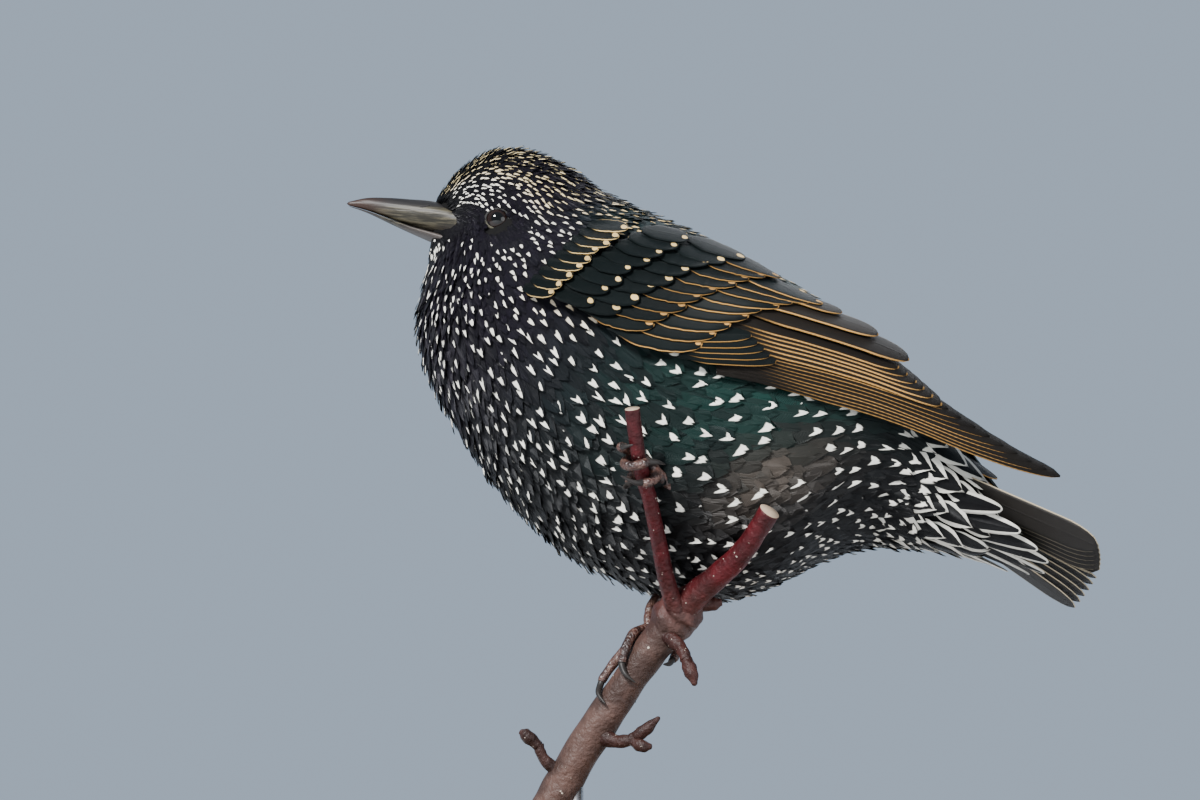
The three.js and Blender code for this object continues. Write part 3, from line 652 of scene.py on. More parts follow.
def body_fields(t, turn):
    """Spacing and length of the body feathers at points of the coat"""
    back = np.cos(turn)
    spacing = table(t, (0.03, 0.70), (0.14, 0.86), (0.24, 1.12), (0.34, 1.58), (0.42, 2.25), (0.52, 3.4),
                    (0.62, 4.8), (0.8, 5.2), (0.9, 4.4), (1, 4.0))
    spacing = spacing * (1 - 0.18 * smooth(back, 0.2, 0.9) * smooth(t, 0.4, 0.5))
    belly = 0.34 * smooth(-back, 0.55, 0.95) * smooth(t, 0.46, 0.6) * (1 - smooth(t, 0.8, 0.95))
    spacing = spacing * (1 - belly)
    return spacing, spacing * table(t, (0, 3.4), (0.3, 4.0), (0.5, 3.4), (0.8, 3.0), (1, 2.6))


def scatter(scale, seed):
    """Roots spread over the coat outside face and wing, further apart where feathers are larger"""
    rng = np.random.default_rng(seed)
    many = 420000
    t = rng.uniform(COAT_START, COAT_END, many)
    turn = rng.uniform(-math.pi, math.pi, many)
    p = flesh(t, turn)
    step = 0.004
    area = np.linalg.norm(np.cross(flesh(t + step, turn) - p, flesh(t, turn + step) - p), axis=-1)
    spacing = body_fields(t, turn)[0] * scale
    chance = area / spacing ** 2
    keep = rng.uniform(0, np.quantile(chance, 0.97), many) < chance
    keep &= off_the_face(p) & ~under_the_wing(p)
    t, turn, p, gap = t[keep], turn[keep], p[keep], 0.86 * spacing[keep]
    tree = KDTree(len(p))
    for i, root in enumerate(p):
        tree.insert(root, i)
    tree.balance()
    free = np.ones(len(p), bool)
    chosen = []
    for i, root in enumerate(p):
        if free[i]:
            chosen.append(i)
            for _, j, _ in tree.find_range(root, gap[i]):
                free[j] = False
    return t[chosen], turn[chosen], p[chosen]


def eye_distance(p):
    """Distance from the eye's middle in the side view"""
    return np.hypot(p[:, 0] - EYE[0], p[:, 2] - EYE[2])


def off_the_face(p):
    """Leaves bill and eyes bare, and the underside of the tail's root to its own coverts"""
    x, y, z = p[:, 0], np.abs(p[:, 1]), p[:, 2]
    eye = eye_distance(p)
    by_eye = (eye <= 4.2 - 0.9 * (x - EYE[0]) / np.maximum(eye, 0.1)) & (y >= 4)
    in_bill = (np.abs(z - 45.3 - 0.16 * (x + 41)) < 4.6 - 0.4 * (x + 41)) & (x < -34.5) & (y < 5.4)
    under_tail = (x > 68) & (z < -10 - 0.3 * (x - 68))
    return ~by_eye & ~in_bill & ~under_tail


def under_the_wing(p):
    """Where the folded wing covers the body"""
    x, y, z = p[:, 0], np.abs(p[:, 1]), p[:, 2]
    low = table(x, (-12, 24), (4, 14), (20, 8), (34, 2), (60, -9), (100, -20))
    high = table(x, (-12, 26), (0, 30), (20, 28), (40, 20), (60, 9), (100, -20))
    return (x > -6) & (z > low) & (z < high) & (y > 8)


def coat_points(vanes, t, turn, p, lift, rng, long, wide, power):
    """Points of vanes that follow the coat from their roots towards the tail"""
    count = len(t)
    spacing, length = body_fields(t, turn)
    length = (length if long is None else long) * rng.uniform(0.9, 1.12, count)
    step = 0.003
    along = np.linalg.norm(flesh(t + step, turn) - flesh(t - step, turn), axis=-1) / (2 * step)
    around = np.linalg.norm(flesh(t, turn + step) - flesh(t, turn - step), axis=-1) / (2 * step)
    for _ in range(2):
        reach = np.clip(t + length / np.maximum(along, 10), 0, 1)
        along = np.linalg.norm(flesh(reach, turn) - p, axis=-1) / np.maximum(reach - t, 0.002)
    along = np.maximum(along, 10)
    half = spacing * table(t, (0, 0.62), (0.3, 0.62), (0.45, 0.60), (0.6, 0.72), (1, 0.72))
    hackle = smooth(t, 0.2, 0.34) * (1 - smooth(t, 0.5, 0.62))
    half = (half * (1 - 0.22 * hackle) if wide is None else wide / 2) * rng.uniform(0.9, 1.1, count)
    u, v = vanes.grid()
    off = u * outline_width(v, power)
    sway = column(rng.normal(0, 0.10, count)) * v * v
    ragged = 1 + (rng.uniform(-0.07, 0.03, (count, 1, u.shape[1])) * (v > 0.6))
    to_tail = column(t) + v * ragged * column(length / along)
    sideways = (off * column(half) + sway * column(length) * 0.5) / column(np.maximum(around, 2.5))
    free = column(lift(t, turn))
    by_eye = np.exp(-(np.maximum(eye_distance(p) - 3.9, 0) / 1.6) ** 2) * (np.abs(p[:, 1]) > 4)
    rise = -1.2 + (1.25 - column(0.9 * by_eye)) * smooth(v, 0, 0.5) + free * v ** 2.5 - 0.35 * off ** 2
    points = flesh(np.minimum(to_tail, COAT_END), column(turn) + sideways, rise)
    # Past the end of the coat the vanes run on straight towards the tail
    past_end = np.maximum(to_tail - COAT_END, 0) * column(along)
    points = points + past_end[..., None] * np.array([0.86, 0, -0.42])
    # The plumage bulges over the near leg
    leg = 4.2 * patch(points[..., 0], points[..., 2], (15.5, -27), (7, 7))
    points[..., 1] -= leg * (points[..., 1] < 0)
    return roll(points)


def coat_marks(t, turn, p, plumage, rng, spots, edge):
    """Spots, edges and colours of body feathers by their place"""
    count = len(t)
    back = np.cos(turn)
    x, y, z = p.T
    wide = table(t, (0.03, 0.42), (0.2, 0.44), (0.34, 0.42), (0.5, 0.40), (0.62, 0.42), (1, 0.5))
    low = table(t, (0.03, 0.76), (0.2, 0.70), (0.34, 0.76), (0.5, 0.78), (0.62, 0.80), (1, 0.78))
    low = low - 0.06 * smooth(back, 0.1, 0.5) * (1 - smooth(t, 0.3, 0.4))
    notch = table(t, (0.4, 0.0), (0.55, 0.05), (1, 0.06))
    vent = smooth(x, 58, 72) * smooth(-z, 12, 24)
    wide = wide * rng.uniform(0.8, 1.2, count) * (1 + 0.7 * vent)
    lores = 1.3 * (x < -25) * np.exp(-((z - 43.6) / 3.4) ** 4) + (eye_distance(p) < 4.6)
    lores = np.clip(lores + patch(x, z, (-36.5, 37), (4.5, 3), 4), 0, 1)
    grey = patch(x, z, (29, -27), (13, 8)) * (np.abs(y) > 9) * rng.uniform(0.35, 1, count)
    # A few feathers anywhere have no spot, and most of those at the lores and over the legs
    have = np.full(count, spots)
    for bare in (table(t, (0, 0.16), (0.3, 0.12), (0.5, 0.05), (1, 0.05)), lores, 1.3 * grey):
        have &= rng.uniform(0, 1, count) > bare
    crown = smooth(back, 0.15, 0.55) * (1 - smooth(t, 0.33, 0.42))
    mantle = smooth(back, 0.35, 0.65) * smooth(t, 0.36, 0.42)
    warm = np.clip(crown + mantle + patch(x, z, (-6, 26), (12, 7)), 0, 1)[:, None]
    yellow = np.array(plumage.buff_spot) + crown[:, None] * np.array([0.02, 0.10, 0.12])
    mark = (1 - warm) * np.array(plumage.white_spot) + warm * yellow
    mark = mark * rng.uniform(0.8, 1.1, (count, 1))
    green = patch(x, z, (30, 0), (32, 18)) + 0.5 * mantle
    purple = smooth(t, 0.16, 0.3) * (1 - smooth(t, 0.46, 0.6))
    gloss = rng.uniform(0.25, 0.85, (count, 1))
    ground = np.array(plumage.black) + green[:, None] * gloss * np.array(plumage.green) \
        + purple[:, None] * gloss * 0.8 * np.array(plumage.purple)
    ground = ground * (1 - grey[:, None]) + grey[:, None] * np.array([0.058, 0.046, 0.037])
    if any(edge):
        mark = np.tile(0.8 * np.array(plumage.white_spot), (count, 1)) * rng.uniform(0.75, 1.1, (count, 1))
    return {"spot": np.stack([np.where(have, wide, 0.0), np.where(have, low, 2.0), notch], -1),
            "edge": np.tile(np.array(edge, float), (count, 1)) * rng.uniform(0.8, 1.2, (count, 1)),
            "mark": mark, "ground": ground}


def body_feathers(vanes, t, turn, p, plumage, lift, rng, spots, long=None, wide=None, edge=(0, 0, 0),
                  power=0.55):
    """Adds a group of body feathers; lift says how far their tips stand off"""
    points = coat_points(vanes, t, turn, p, lift, rng, long, wide, power)
    marks = coat_marks(t, turn, p, plumage, rng, spots, edge)
    vanes.add(points, marks, np.stack([(turn / (2 * math.pi)) % 1 * 0.96 + 0.02, t * 0.96 + 0.02], -1))


# Wing and tail feathers

def flight_width(v, tip):
    """Width of a flight feather along its shaft; its round end takes up the share tip"""
    root = 0.45
    base = root + (1 - root) * smooth(v, 0, 0.35)
    return base * np.sqrt(np.clip(1 - (np.maximum(v - (1 - tip), 0) / tip) ** 2, 0.004, 1))


def feather_look(count, look, flip):
    """Marks for a row of like feathers: look holds edges, their colour, the ground and maybe a spot"""
    edge, mark, ground, *spot = look
    edge = np.tile(np.asarray(edge, float), (count, 1))
    if flip:
        edge = edge[:, [1, 0, 2]]
    tone = RNG.uniform(0.8, 1.15, (count, 1))
    return {"spot": np.tile(spot[0] if spot else [0.0, 2.0, 0.0], (count, 1)), "edge": edge,
            "mark": np.tile(mark, (count, 1)) * tone, "ground": np.tile(ground, (count, 1)) * tone}


def wing_tier(vanes, side, roots, tips, wide, lift, tilt, look, bow, pointed, home, loose=0.12):
    """Feathers of one tier of the folded wing, from outline points of the side view"""
    roots, tips = np.asarray(roots, float), np.asarray(tips, float)
    count = len(roots)
    tips = tips + RNG.normal(0, loose, tips.shape)
    lift = lift + 0.25 * RNG.normal(0, loose, count)
    u, v = vanes.grid()
    t = 1 - (1 - v) ** 1.25
    run = tips - roots
    long = np.hypot(run[:, 0], run[:, 1])
    up = np.stack([-run[:, 1], run[:, 0]], -1) / long[:, None]
    frayed = 1 + 0.05 * loose * RNG.normal(0, 1, (count, u.shape[0], 1)) * (t > 0.3)
    wide = column(wide)
    q = wide * flight_width(t, pointed) * frayed * (0.15 + 0.5 * u)
    bend = column(bow) * 4 * t * (1 - t)
    x, z = (column(roots[:, i]) + column(run[:, i]) * t + column(up[:, i]) * (q - bend) for i in range(2))
    arch = 0.35 * u ** 2 * wide / 8
    out = wing_face(x, z) + column(lift) * (0.4 + 0.6 * t) - tilt * (q + 0.35 * wide) - arch
    p = np.stack([x, side * out, z], -1)
    if side > 0:
        p = p[:, :, ::-1]
    vanes.add(roll(p), feather_look(count, look, side > 0), home_row(count, home, 0.9))


def between(a, b, count, bend=0.0):
    """Evenly spread points from a to b, bowed sideways"""
    s = np.linspace(0, 1, count)[:, None]
    a, b = np.array(a, float), np.array(b, float)
    off = np.array([-(b - a)[1], (b - a)[0]]) / max(np.linalg.norm(b - a), 1e-6)
    return a + (b - a) * s + off * bend * 4 * s * (1 - s)


def flight_wing(side, plumage):
    """All tiers of one folded wing, from the primaries up to the shoulder"""
    gold = np.array(plumage.gold_edge)
    buff = np.array(plumage.buff_spot)
    brown = np.array([0.0085, 0.0068, 0.0055])
    black = 0.8 * np.array(plumage.black) + 0.06 * np.array(plumage.green)
    no_edge = (0.0, 0.0, 0.0)
    vanes = Vanes(8, 22)
    # Primaries, secondaries, tertials and primary coverts
    for tier in (
            (between([27, -3.4], [27, 3.6], 9), between([108.4, -28.8], [82, -14], 9, 0.4), 8.4, -0.6, 0.34,
             ((0.055, 0.02, 0.0), 0.75 * gold, brown), np.linspace(1.2, 0.3, 9), 0.34, 0.1),
            (between([27, 4.6], [27, 11], 6), between([80.5, -13.4], [70.6, -4.6], 6), 8.6, 0.0, 0.34,
             ((0.10, 0.03, 0.02), gold, brown), 0.15, 0.16, 0.2),
            ([[30, 13.2], [30, 17.2], [30, 21.2]], [[73.5, -1.6], [66.5, 5.6], [58, 12.6]], [9.8, 9, 8],
             0.7, 0.28, ((0.11, 0.05, 0.018), gold, 1.3 * brown), 0.0, 0.2, 0.3),
            (between([18, 1.6], [15, 7], 5), between([40.5, -4.4], [35, 3], 5), 4.6, 0.45, 0.3,
             ((0.08, 0.02, 0.02), 0.8 * gold, black), 0.2, 0.3, 0.4)):
        wing_tier(vanes, side, *tier)
    # Greater, median and two rows of lesser coverts, and the feathers of the shoulder
    for count, roots, tips, bend, wide, lift, edge, mark, spot, bow, home, loose in (
            (9, ([2, 11], [31, 24]), ([23, 3.0], [53.5, 14.6]), 1.6, 7.8, 1.2, (0.075, 0.03, 0.03), gold,
             (0.34, 0.92, -0.05), 0.5, 0.5, 0.35),
            (9, ([-4, 15.5], [27, 29.5]), ([12, 9.2], [43, 22]), 1.2, 7.2, 1.6, (0.05, 0.02, 0.02),
             0.9 * gold, (0.36, 0.88, -0.075), 0.3, 0.6, 0.45),
            (8, ([-8, 18.5], [21, 33.5]), ([5, 14], [34, 27.4]), 1.0, 7.2, 1.9, no_edge, buff,
             (0.38, 0.86, -0.095), 0.2, 0.7, 0.5),
            (8, ([-12, 20.5], [10, 36]), ([-1.5, 16], [22, 32]), 0.8, 6.0, 2.1, no_edge, buff,
             (0.36, 0.86, -0.085), 0.2, 0.8, 0.5),
            (9, ([-18, 21.5], [-3, 38.5]), ([-10, 18.5], [6.5, 35]), 0.6, 4.8, 2.3, (0.09, 0.09, 0.03),
             0.9 * buff, (0.5, 0.86, -0.11), 0.2, 0.85, 0.5)):
        wing_tier(vanes, side, between(*roots, count), between(*tips, count, bend), wide, lift, 0.3,
                  (edge, mark, black, spot), bow, 0.45, home, loose)
    return vanes


def straight_vanes(vanes, roots, tips, face_to, wide, look, pointed, home, tilt=0.0, cup=0.0, inner=None):
    """Feathers laid between two points of space, with their faces turned to a given side"""
    roots, tips = np.atleast_2d(roots).astype(float), np.atleast_2d(tips).astype(float)
    count = len(roots)
    u, v = vanes.grid()
    t = (1 - (1 - v) ** 1.25)[None, :, :, None]
    run = (tips - roots)[:, None, None, :]
    normal = np.broadcast_to(np.asarray(face_to, float), (count, 3))[:, None, None, :]
    normal = unit(normal - run * (normal * run).sum(-1, keepdims=True) / (run * run).sum(-1, keepdims=True))
    across = unit(np.cross(run, normal))
    q = wide / 2 * flight_width(t, pointed) * u[None, :, :, None]
    p = roots[:, None, None, :] + run * t + across * q + normal * (tilt * q - cup * (q / wide * 2) ** 2)
    if inner is not None:
        p[..., 1] = np.minimum(p[..., 1], inner) if inner < 0 else np.maximum(p[..., 1], inner)
    vanes.add(roll(p), feather_look(count, look, tilt < 0), home_row(count, *home))


def tail_vanes(plumage):
    """Twelve tail feathers and the longest coverts under and over their roots"""
    pale = np.array([0.42, 0.35, 0.24])
    grey = np.array([0.017, 0.0145, 0.0125])
    black = 1.2 * np.array(plumage.black)
    under = ((0.40, 0.40, 0.06), 0.8 * np.array(plumage.white_spot), black)
    over = ((0.10, 0.10, 0.03), np.array(plumage.gold_edge), black)
    vanes = Vanes(8, 20)
    j = np.arange(6)
    for side in (-1, 1):
        roots = np.stack([np.full(6, 70.0), side * (0.9 + 0.75 * j), -15.5 - 0.1 * j], -1)
        tips = np.stack([119.6 - 0.35 * j - 0.05 * j * j, side * (2.2 + 2.7 * j), -43.6 - 0.25 * j], -1)
        straight_vanes(vanes, roots, tips, (0, 0, 1), 8.8, ((0.045, 0.07, 0.012), pale, grey), 0.16,
                       (0.3 + 0.2 * side, 0.1), side * -0.32, inner=side * 0.25)
        flip = np.array([1, side, 1])
        for root, tip, face, wide, look, cup, pointed, home in (
                ([88, 2.0, -35.5], [107, 2.8, -42.6], (0, 0.2, -1), 5.4, under, 0.8, 0.75, 0.2),
                ([86, 4.6, -34.6], [104, 6.4, -41.2], (0, 0.4, -1), 5.6, under, 0.8, 0.75, 0.2),
                ([82, 7.6, -33], [99.5, 10.2, -38.6], (0, 0.8, -1), 5.6, under, 0.8, 0.75, 0.2),
                ([78, 10.4, -29.5], [95, 13.2, -34.6], (0, 1.2, -0.7), 5.6, under, 0.8, 0.75, 0.2),
                ([80, 3.4, -7.5], [101, 4.2, -28.6], (0, 0.3, 1), 7.4, over, 0.6, 0.34, 0.8),
                ([77, 8.4, -8.5], [95, 10.2, -24.6], (0, 0.8, 1), 7.4, over, 0.6, 0.34, 0.8),
                ([74, 4.5, -3], [93, 5.2, -20.5], (0, 0.4, 1), 7.4, over, 0.6, 0.34, 0.8)):
            straight_vanes(vanes, root * flip, tip * flip, face * flip, wide, look, pointed, (home, 0.2),
                           cup=cup)
    return vanes


# Bill, eyes and feet

# Side view of the bill's mouth line, ridge and chin from tip to root, and half the width at the same places
MOUTH = [[-62.9, 49.5], [-58, 48.1], [-52.4, 46.0], [-47, 44], [-42.3, 42.5], [-34.6, 40.4], [-31, 39.6]]
RIDGE = [[-63.3, 50.2], [-58, 51.3], [-52.4, 51.3], [-47, 50.9], [-41.4, 50.4], [-35, 48.6], [-31, 47]]
CHIN = [[-62.3, 49.2], [-58, 47.6], [-52.4, 44.9], [-47, 42.4], [-42.3, 40.4], [-35.5, 37.2], [-31, 36.6]]
BILL_WIDE = [0.25, 1.0, 1.75, 2.6, 3.8, 5.6, 5.0]
NOSTRIL = [[-45.0, 2.62, 48.0], [-43.6, 2.9, 48.25], [-42.2, 3.05, 48.5]]

# Profile of the eyelids' ring as distance from the eye's middle and outward, in millimetres
LID = ((2.40, 2.02), (2.46, 2.26), (2.70, 2.34), (3.05, 2.02), (3.5, 1.2), (4.1, -0.2), (4.2, -1.6),
       (3.2, -1.6), (2.9, 0.8))

# Each toe is a list of places round its stick, as turn in degrees and height, then those of its claw, and
# how far the claw's tip stands off
NEAR_STICK = {"at": [9, -40.5, -22.7], "axis": [-2.3, -6.4, 9.8], "radius": 1.75}
FAR_STICK = {"at": [12, -9.5, -62], "axis": [-7.6, 3.1, -11], "radius": 4.1}
NEAR_TOES = [
    ([[200, 0.6], [160, 2.2], [125, 4], [98, 5]], [[92, 5.2], [55, 5.9], [12, 6.6]], 0.6),
    ([[200, 0], [150, 0.6], [95, 1], [40, 1.2], [-14, 1.4]], [[-22, 1.4], [-58, 0.6], [-84, -1.2]], 2.6),
    ([[200, -0.4], [170, -2], [142, -3.4], [120, -4]], [[113, -4.2], [86, -4.4], [62, -3.6]], 2.4),
    ([[170, 0], [215, -2], [270, -3], [325, -3.4], [352, -3.3]],
     [[360, -3.2], [385, -2.2], [412, 0.2]], 3.4),
]
FAR_TOES = [
    ([[140, -3.4], [116, 2], [98, 7.5], [84, 12]], [[78, 13.4], [50, 15], [16, 15.6]], 0.6),
    ([[140, -3.6], [96, -0.8], [66, 2.4], [50, 5]], [[44, 6], [16, 7.2], [-14, 7.4]], 0.8),
    ([[140, -3.4], [150, 2.6], [158, 7], [170, 10]], [[176, 11.2], [196, 12.6], [220, 13]], 0.6),
    ([[142, -4], [186, -4.6], [226, -3], [256, -1.6]], [[264, -1], [292, -0.2], [316, 0.4]], 0.8),
]
FOOT_GAP = 0.3
TOE_OUT = 1.25


def bill_half(low, high, drop, keel):
    """Upper or lower half of the bill, with a keeled ridge or a rounded chin"""
    rings = 60
    lower, upper = ([[x, wide, z] for (x, z), wide in zip(line, BILL_WIDE)] for line in (low, high))

    def place(ring, turn):
        a, b = spline(lower, ring / rings), spline(upper, ring / rings)
        end = np.where((ring == 0) | (ring == rings), 0, 1)
        tall = end * (b[:, 2] - drop - a[:, 2]) / 2
        around, up = np.sin(turn), np.cos(turn)
        side = np.sign(around) * np.abs(around) ** 0.8
        pinch = 1 - keel * np.clip(up, 0, 1) ** 2
        middle = (a + b) / 2
        y, z = end * a[:, 1] * side * pinch, middle[:, 2] - drop / 2 + tall * up
        return np.stack([middle[:, 0], y, z], -1)

    return sphere_mesh(32, rings, place)


def eye_mesh(centre, side):
    """A ball whose pole faces outwards"""
    rings = 32

    def place(ring, turn):
        out = ring / rings * math.pi
        ball = [np.sin(out) * np.cos(turn), np.cos(out) * side, np.sin(out) * np.sin(turn)]
        return centre + EYE_RADIUS * 0.97 * np.stack(ball, -1)

    return sphere_mesh(40, rings, place)


def lid_mesh(side):
    """A soft ring that rises from the skin and closes on the eye"""
    bm = bmesh.new()
    verts = [bm.verts.new((r, 0, out)) for r, out in LID]
    edges = [bm.edges.new((verts[i], verts[i - 1])) for i in range(len(verts))]
    bmesh.ops.spin(bm, geom=verts + edges, cent=(0, 0, 0), axis=(0, 0, 1), angle=2 * math.pi, steps=48)
    bmesh.ops.remove_doubles(bm, verts=bm.verts, dist=1e-3)
    for vert in bm.verts:
        x, y, out = vert.co
        vert.co = metres(EYE * [1, side, 1] + np.array([x * 1.06, side * (out + 0.06 * x), y * 0.94]))
    bmesh.ops.recalc_face_normals(bm, faces=bm.faces)
    return to_mesh(bm)


def grip_point(stick, turn, height, out):
    """Point at a turn and a height round a stick; turn 0 faces the viewer and 90 lies on the bill's side"""
    axis = unit(np.array(stick["axis"], float))
    front = unit(np.array([0, -1.0, 0]) + axis * axis[1])
    bill = np.cross(axis, front)
    bill *= -np.sign(bill[0])
    a = math.radians(turn)
    r = stick["radius"] + FOOT_GAP + out
    return np.array(stick["at"]) + axis * height + front * r * math.cos(a) + bill * r * math.sin(a)


def scutes(s, turn):
    """Joints and scales along a toe or leg"""
    return 1 + 0.05 * np.cos(8 * math.pi * s) + 0.025 * np.abs(np.sin(38 * s))


def toe_and_claw(stick, path, claw, free):
    """Meshes of one toe and of the claw at its end"""
    points = np.array([grip_point(stick, turn, height, TOE_OUT) for turn, height in path])
    tip = np.array([grip_point(stick, turn, height, 1 + free * i / (len(claw) - 1))
                    for i, (turn, height) in enumerate(claw)])
    way = unit(tip[0] - points[-1])
    radii = [*np.linspace(1.25, 1.05, len(points)), 1.0]
    return (limb_mesh(np.vstack([points, points[-1] + 0.8 * way]), radii, 16, 60, scutes),
            limb_mesh(np.vstack([points[-1] - way, tip]), [0.8, 0.82, 0.6, 0.16], 14, 26))


# Perch

BRANCH = [[-12.2, -1.4, -99.4], [-6, -3, -88], [4, -6.5, -73], [12, -9.5, -62], [18.6, -12, -53.6]]
FORK = [[13.4, -10, -60.4], [18.4, -12, -53.6], [22.4, -15, -49.4]]
TWIG = [[19.2, -13, -56], [16.2, -19, -49], [11.4, -34, -30], [9, -40.5, -22.7], [7.2, -46.5, -11]]
SLANT = [[16, -11, -56], [22, -16.5, -50], [32.2, -27, -41.5], [38.6, -34.5, -32.5]]

# Points and radii of the spurs and of the buds at their ends
SPURS = [
    ([[-8, -3, -92], [-13.6, -4, -86.4], [-14.6, -4.4, -83.6]], [1.9, 1.3, 1.3]),
    ([[-14.2, -4.2, -84.4], [-17.4, -5, -81.6], [-19, -5.2, -80.6]], [1.2, 1.6, 0.5]),
    ([[-1, -5, -81], [4, -8, -83.2], [8.6, -9.5, -82.6]], [2.4, 1.6, 1.4]),
    ([[7, -9, -82.8], [10.6, -10.4, -80.6], [14, -11.4, -77.6]], [1.2, 1.5, 0.4]),
    ([[7.4, -9.4, -83], [10, -10.8, -84.4], [12.2, -11.2, -84.4]], [1.2, 1.5, 0.5]),
    ([[15, -12.5, -58], [19, -17, -62.4], [20, -18, -65]], [2.2, 1.5, 1.4]),
    ([[19.8, -17.8, -64.4], [21, -18.8, -67.6], [22, -19.4, -71]], [1.3, 1.7, 0.5]),
    ([[22, -14.5, -50.6], [26.4, -15, -51.6], [28.6, -15, -51]], [2.2, 1.7, 0.8]),
]


def rough(s, turn):
    """Slight unevenness of a branch"""
    return 1 + 0.03 * np.sin(17 * s + 2 * turn) + 0.02 * np.sin(41 * s - 3 * turn)


def knots(s, turn):
    """Rings and folds of a fork or a spur"""
    return 1 + 0.06 * np.cos(6 * math.pi * s + np.cos(turn)) + 0.04 * np.sin(5 * turn + 9 * s)


# Operators

class STARLING_OT_skin(bpy.types.Operator):
    """Under-plumage: one skin for head, neck, body and rump"""

    bl_idname = "starling.skin"
    bl_label = "Skin"

    def execute(self, context):
        plumage = context.scene.starling_plumage
        depth = -1000 * plumage.coat_depth
        rings = 150

        def place(ring, turn):
            ends = (ring == 0) | (ring == rings)
            middle = flesh(ring / rings, np.zeros_like(turn), -99)
            return roll(np.where(ends[:, None], middle, flesh(ring / rings, turn, depth)))

        add_object("skin", sphere_mesh(110, rings, place), skin_material(plumage), "plumage",
                   "head", "neck", "torso")
        return {"FINISHED"}


class STARLING_OT_coat(bpy.types.Operator):
    """Body feathers with their spots, in pieces for head, breast, body, vent and an under layer"""

    bl_idname = "starling.coat"
    bl_label = "Body feathers"

    def execute(self, context):
        plumage = context.scene.starling_plumage
        material = feather_material("Body feathers", 0.42, 0.2, 0.16, 240.0)
        rng = np.random.default_rng(5)

        def lift(t, turn):
            """How far tips stand off the coat, most on throat, breast and crown"""
            back, count = np.cos(turn), len(t)
            throat = 1.7 * smooth(-back, 0.1, 0.8) * smooth(t, 0.12, 0.4) * rng.uniform(0.1, 1, count)
            crown = 1.5 * smooth(back, 0.3, 0.8) * rng.uniform(0, 1, count) ** 2 * (1 - smooth(t, 0.4, 0.5))
            return 0.15 + throat + crown + 0.5 * smooth(t, 0.2, 0.6) * rng.uniform(0, 1, count)

        def add(name, across, along, t, turn, p, lift, spots, **shape):
            """One piece of body feathers, each a grid of across by along faces"""
            vanes = Vanes(across, along)
            body_feathers(vanes, t, turn, p, plumage, lift, rng, spots, **shape)
            add_object(name, vanes.mesh(), material, "plumage")

        t, turn, p = scatter(1 / plumage.density, 3)
        for name, low, high, across, along in (("head_feathers", 0, 0.36, 4, 6),
                                               ("breast_feathers", 0.36, 0.58, 6, 8),
                                               ("body_feathers", 0.58, 1, 6, 9)):
            pick = (t >= low) & (t < high)
            add(name, across, along, t[pick], turn[pick], p[pick], lift, True)
        half_gap = 0.26
        rows = [(0.825 + 0.021 * i, side * (math.pi - half_gap - 2 * half_gap * j))
                for i in range(7) for j in range(4) for side in (-1, 1)]
        t, turn = np.array(rows).T
        gap = np.linalg.norm(flesh(t + 0.03, turn + half_gap) - flesh(t + 0.03, turn - half_gap), axis=-1)
        add("vent_feathers", 6, 9, t, turn, flesh(t, turn), lambda t, turn: 1.0 + 5 * (t - 0.8), False,
            long=table(t, (0.8, 12.0), (1, 15.0)), wide=1.2 * gap, edge=(0.40, 0.40, 0.05), power=1.3)
        t, turn, p = scatter(0.62 / plumage.density, 4)
        add("under_feathers", 2, 4, t, turn, p, lambda t, turn: lift(t, turn) - 0.25, False)
        return {"FINISHED"}


class STARLING_OT_wings(bpy.types.Operator):
    """Folded wings, tier by tier"""

    bl_idname = "starling.wings"
    bl_label = "Wings"

    def execute(self, context):
        material = feather_material("Wing feathers", 0.45, 0.0, 0.08, 300.0)
        for side, name in ((-1, "left"), (1, "right")):
            mesh = flight_wing(side, context.scene.starling_plumage).mesh()
            thicken(add_object("wing_feathers_" + name, mesh, material, "flight_feathers", "wing_" + name))
        return {"FINISHED"}


class STARLING_OT_tail(bpy.types.Operator):
    """Tail feathers and tail coverts"""

    bl_idname = "starling.tail"
    bl_label = "Tail"

    def execute(self, context):
        material = feather_material("Tail feathers", 0.45, 0.0, 0.14, 420.0)
        mesh = tail_vanes(context.scene.starling_plumage).mesh()
        thicken(add_object("tail_feathers", mesh, material, "flight_feathers", "tail"))
        return {"FINISHED"}


class STARLING_OT_bill(bpy.types.Operator):
    """Upper and lower half of the bill, and the nostrils"""

    bl_idname = "starling.bill"
    bl_label = "Bill"

    def execute(self, context):
        material = horn_material(context.scene.starling_parts)
        add_object("bill_top", bill_half(MOUTH, RIDGE, 0.0, 0.35), material, "bill", "bill_upper")
        add_object("bill_bottom", bill_half(CHIN, MOUTH, 0.3, 0.0), material, "bill", "bill_lower")
        dark = Finish("Nostril", 0.9)
        dark.give("Base Color", (0.004, 0.003, 0.003))
        pits = [limb_mesh(NOSTRIL * np.array([1, side, 1]), [0.18, 0.34, 0.2], 12, 12) for side in (-1, 1)]
        add_object("nostrils", join_meshes(pits), dark.material, "bill")
        return {"FINISHED"}


class STARLING_OT_eyes(bpy.types.Operator):
    """Eyes with iris and pupil, and the lids round them"""

    bl_idname = "starling.eyes"
    bl_label = "Eyes"

    def execute(self, context):
        for side, name in ((-1, "left"), (1, "right")):
            centre = EYE * np.array([1, side, 1])
            front = metres(centre + np.array([0, side * EYE_RADIUS, 0]))
            material = eye_material("Eye " + name, front, context.scene.starling_parts.iris)
            add_object("eye_ball_" + name, eye_mesh(centre, side), material, "eye", "eye_" + name)
        add_object("lids", join_meshes([lid_mesh(side) for side in (-1, 1)]), lid_material(), "plumage")
        return {"FINISHED"}


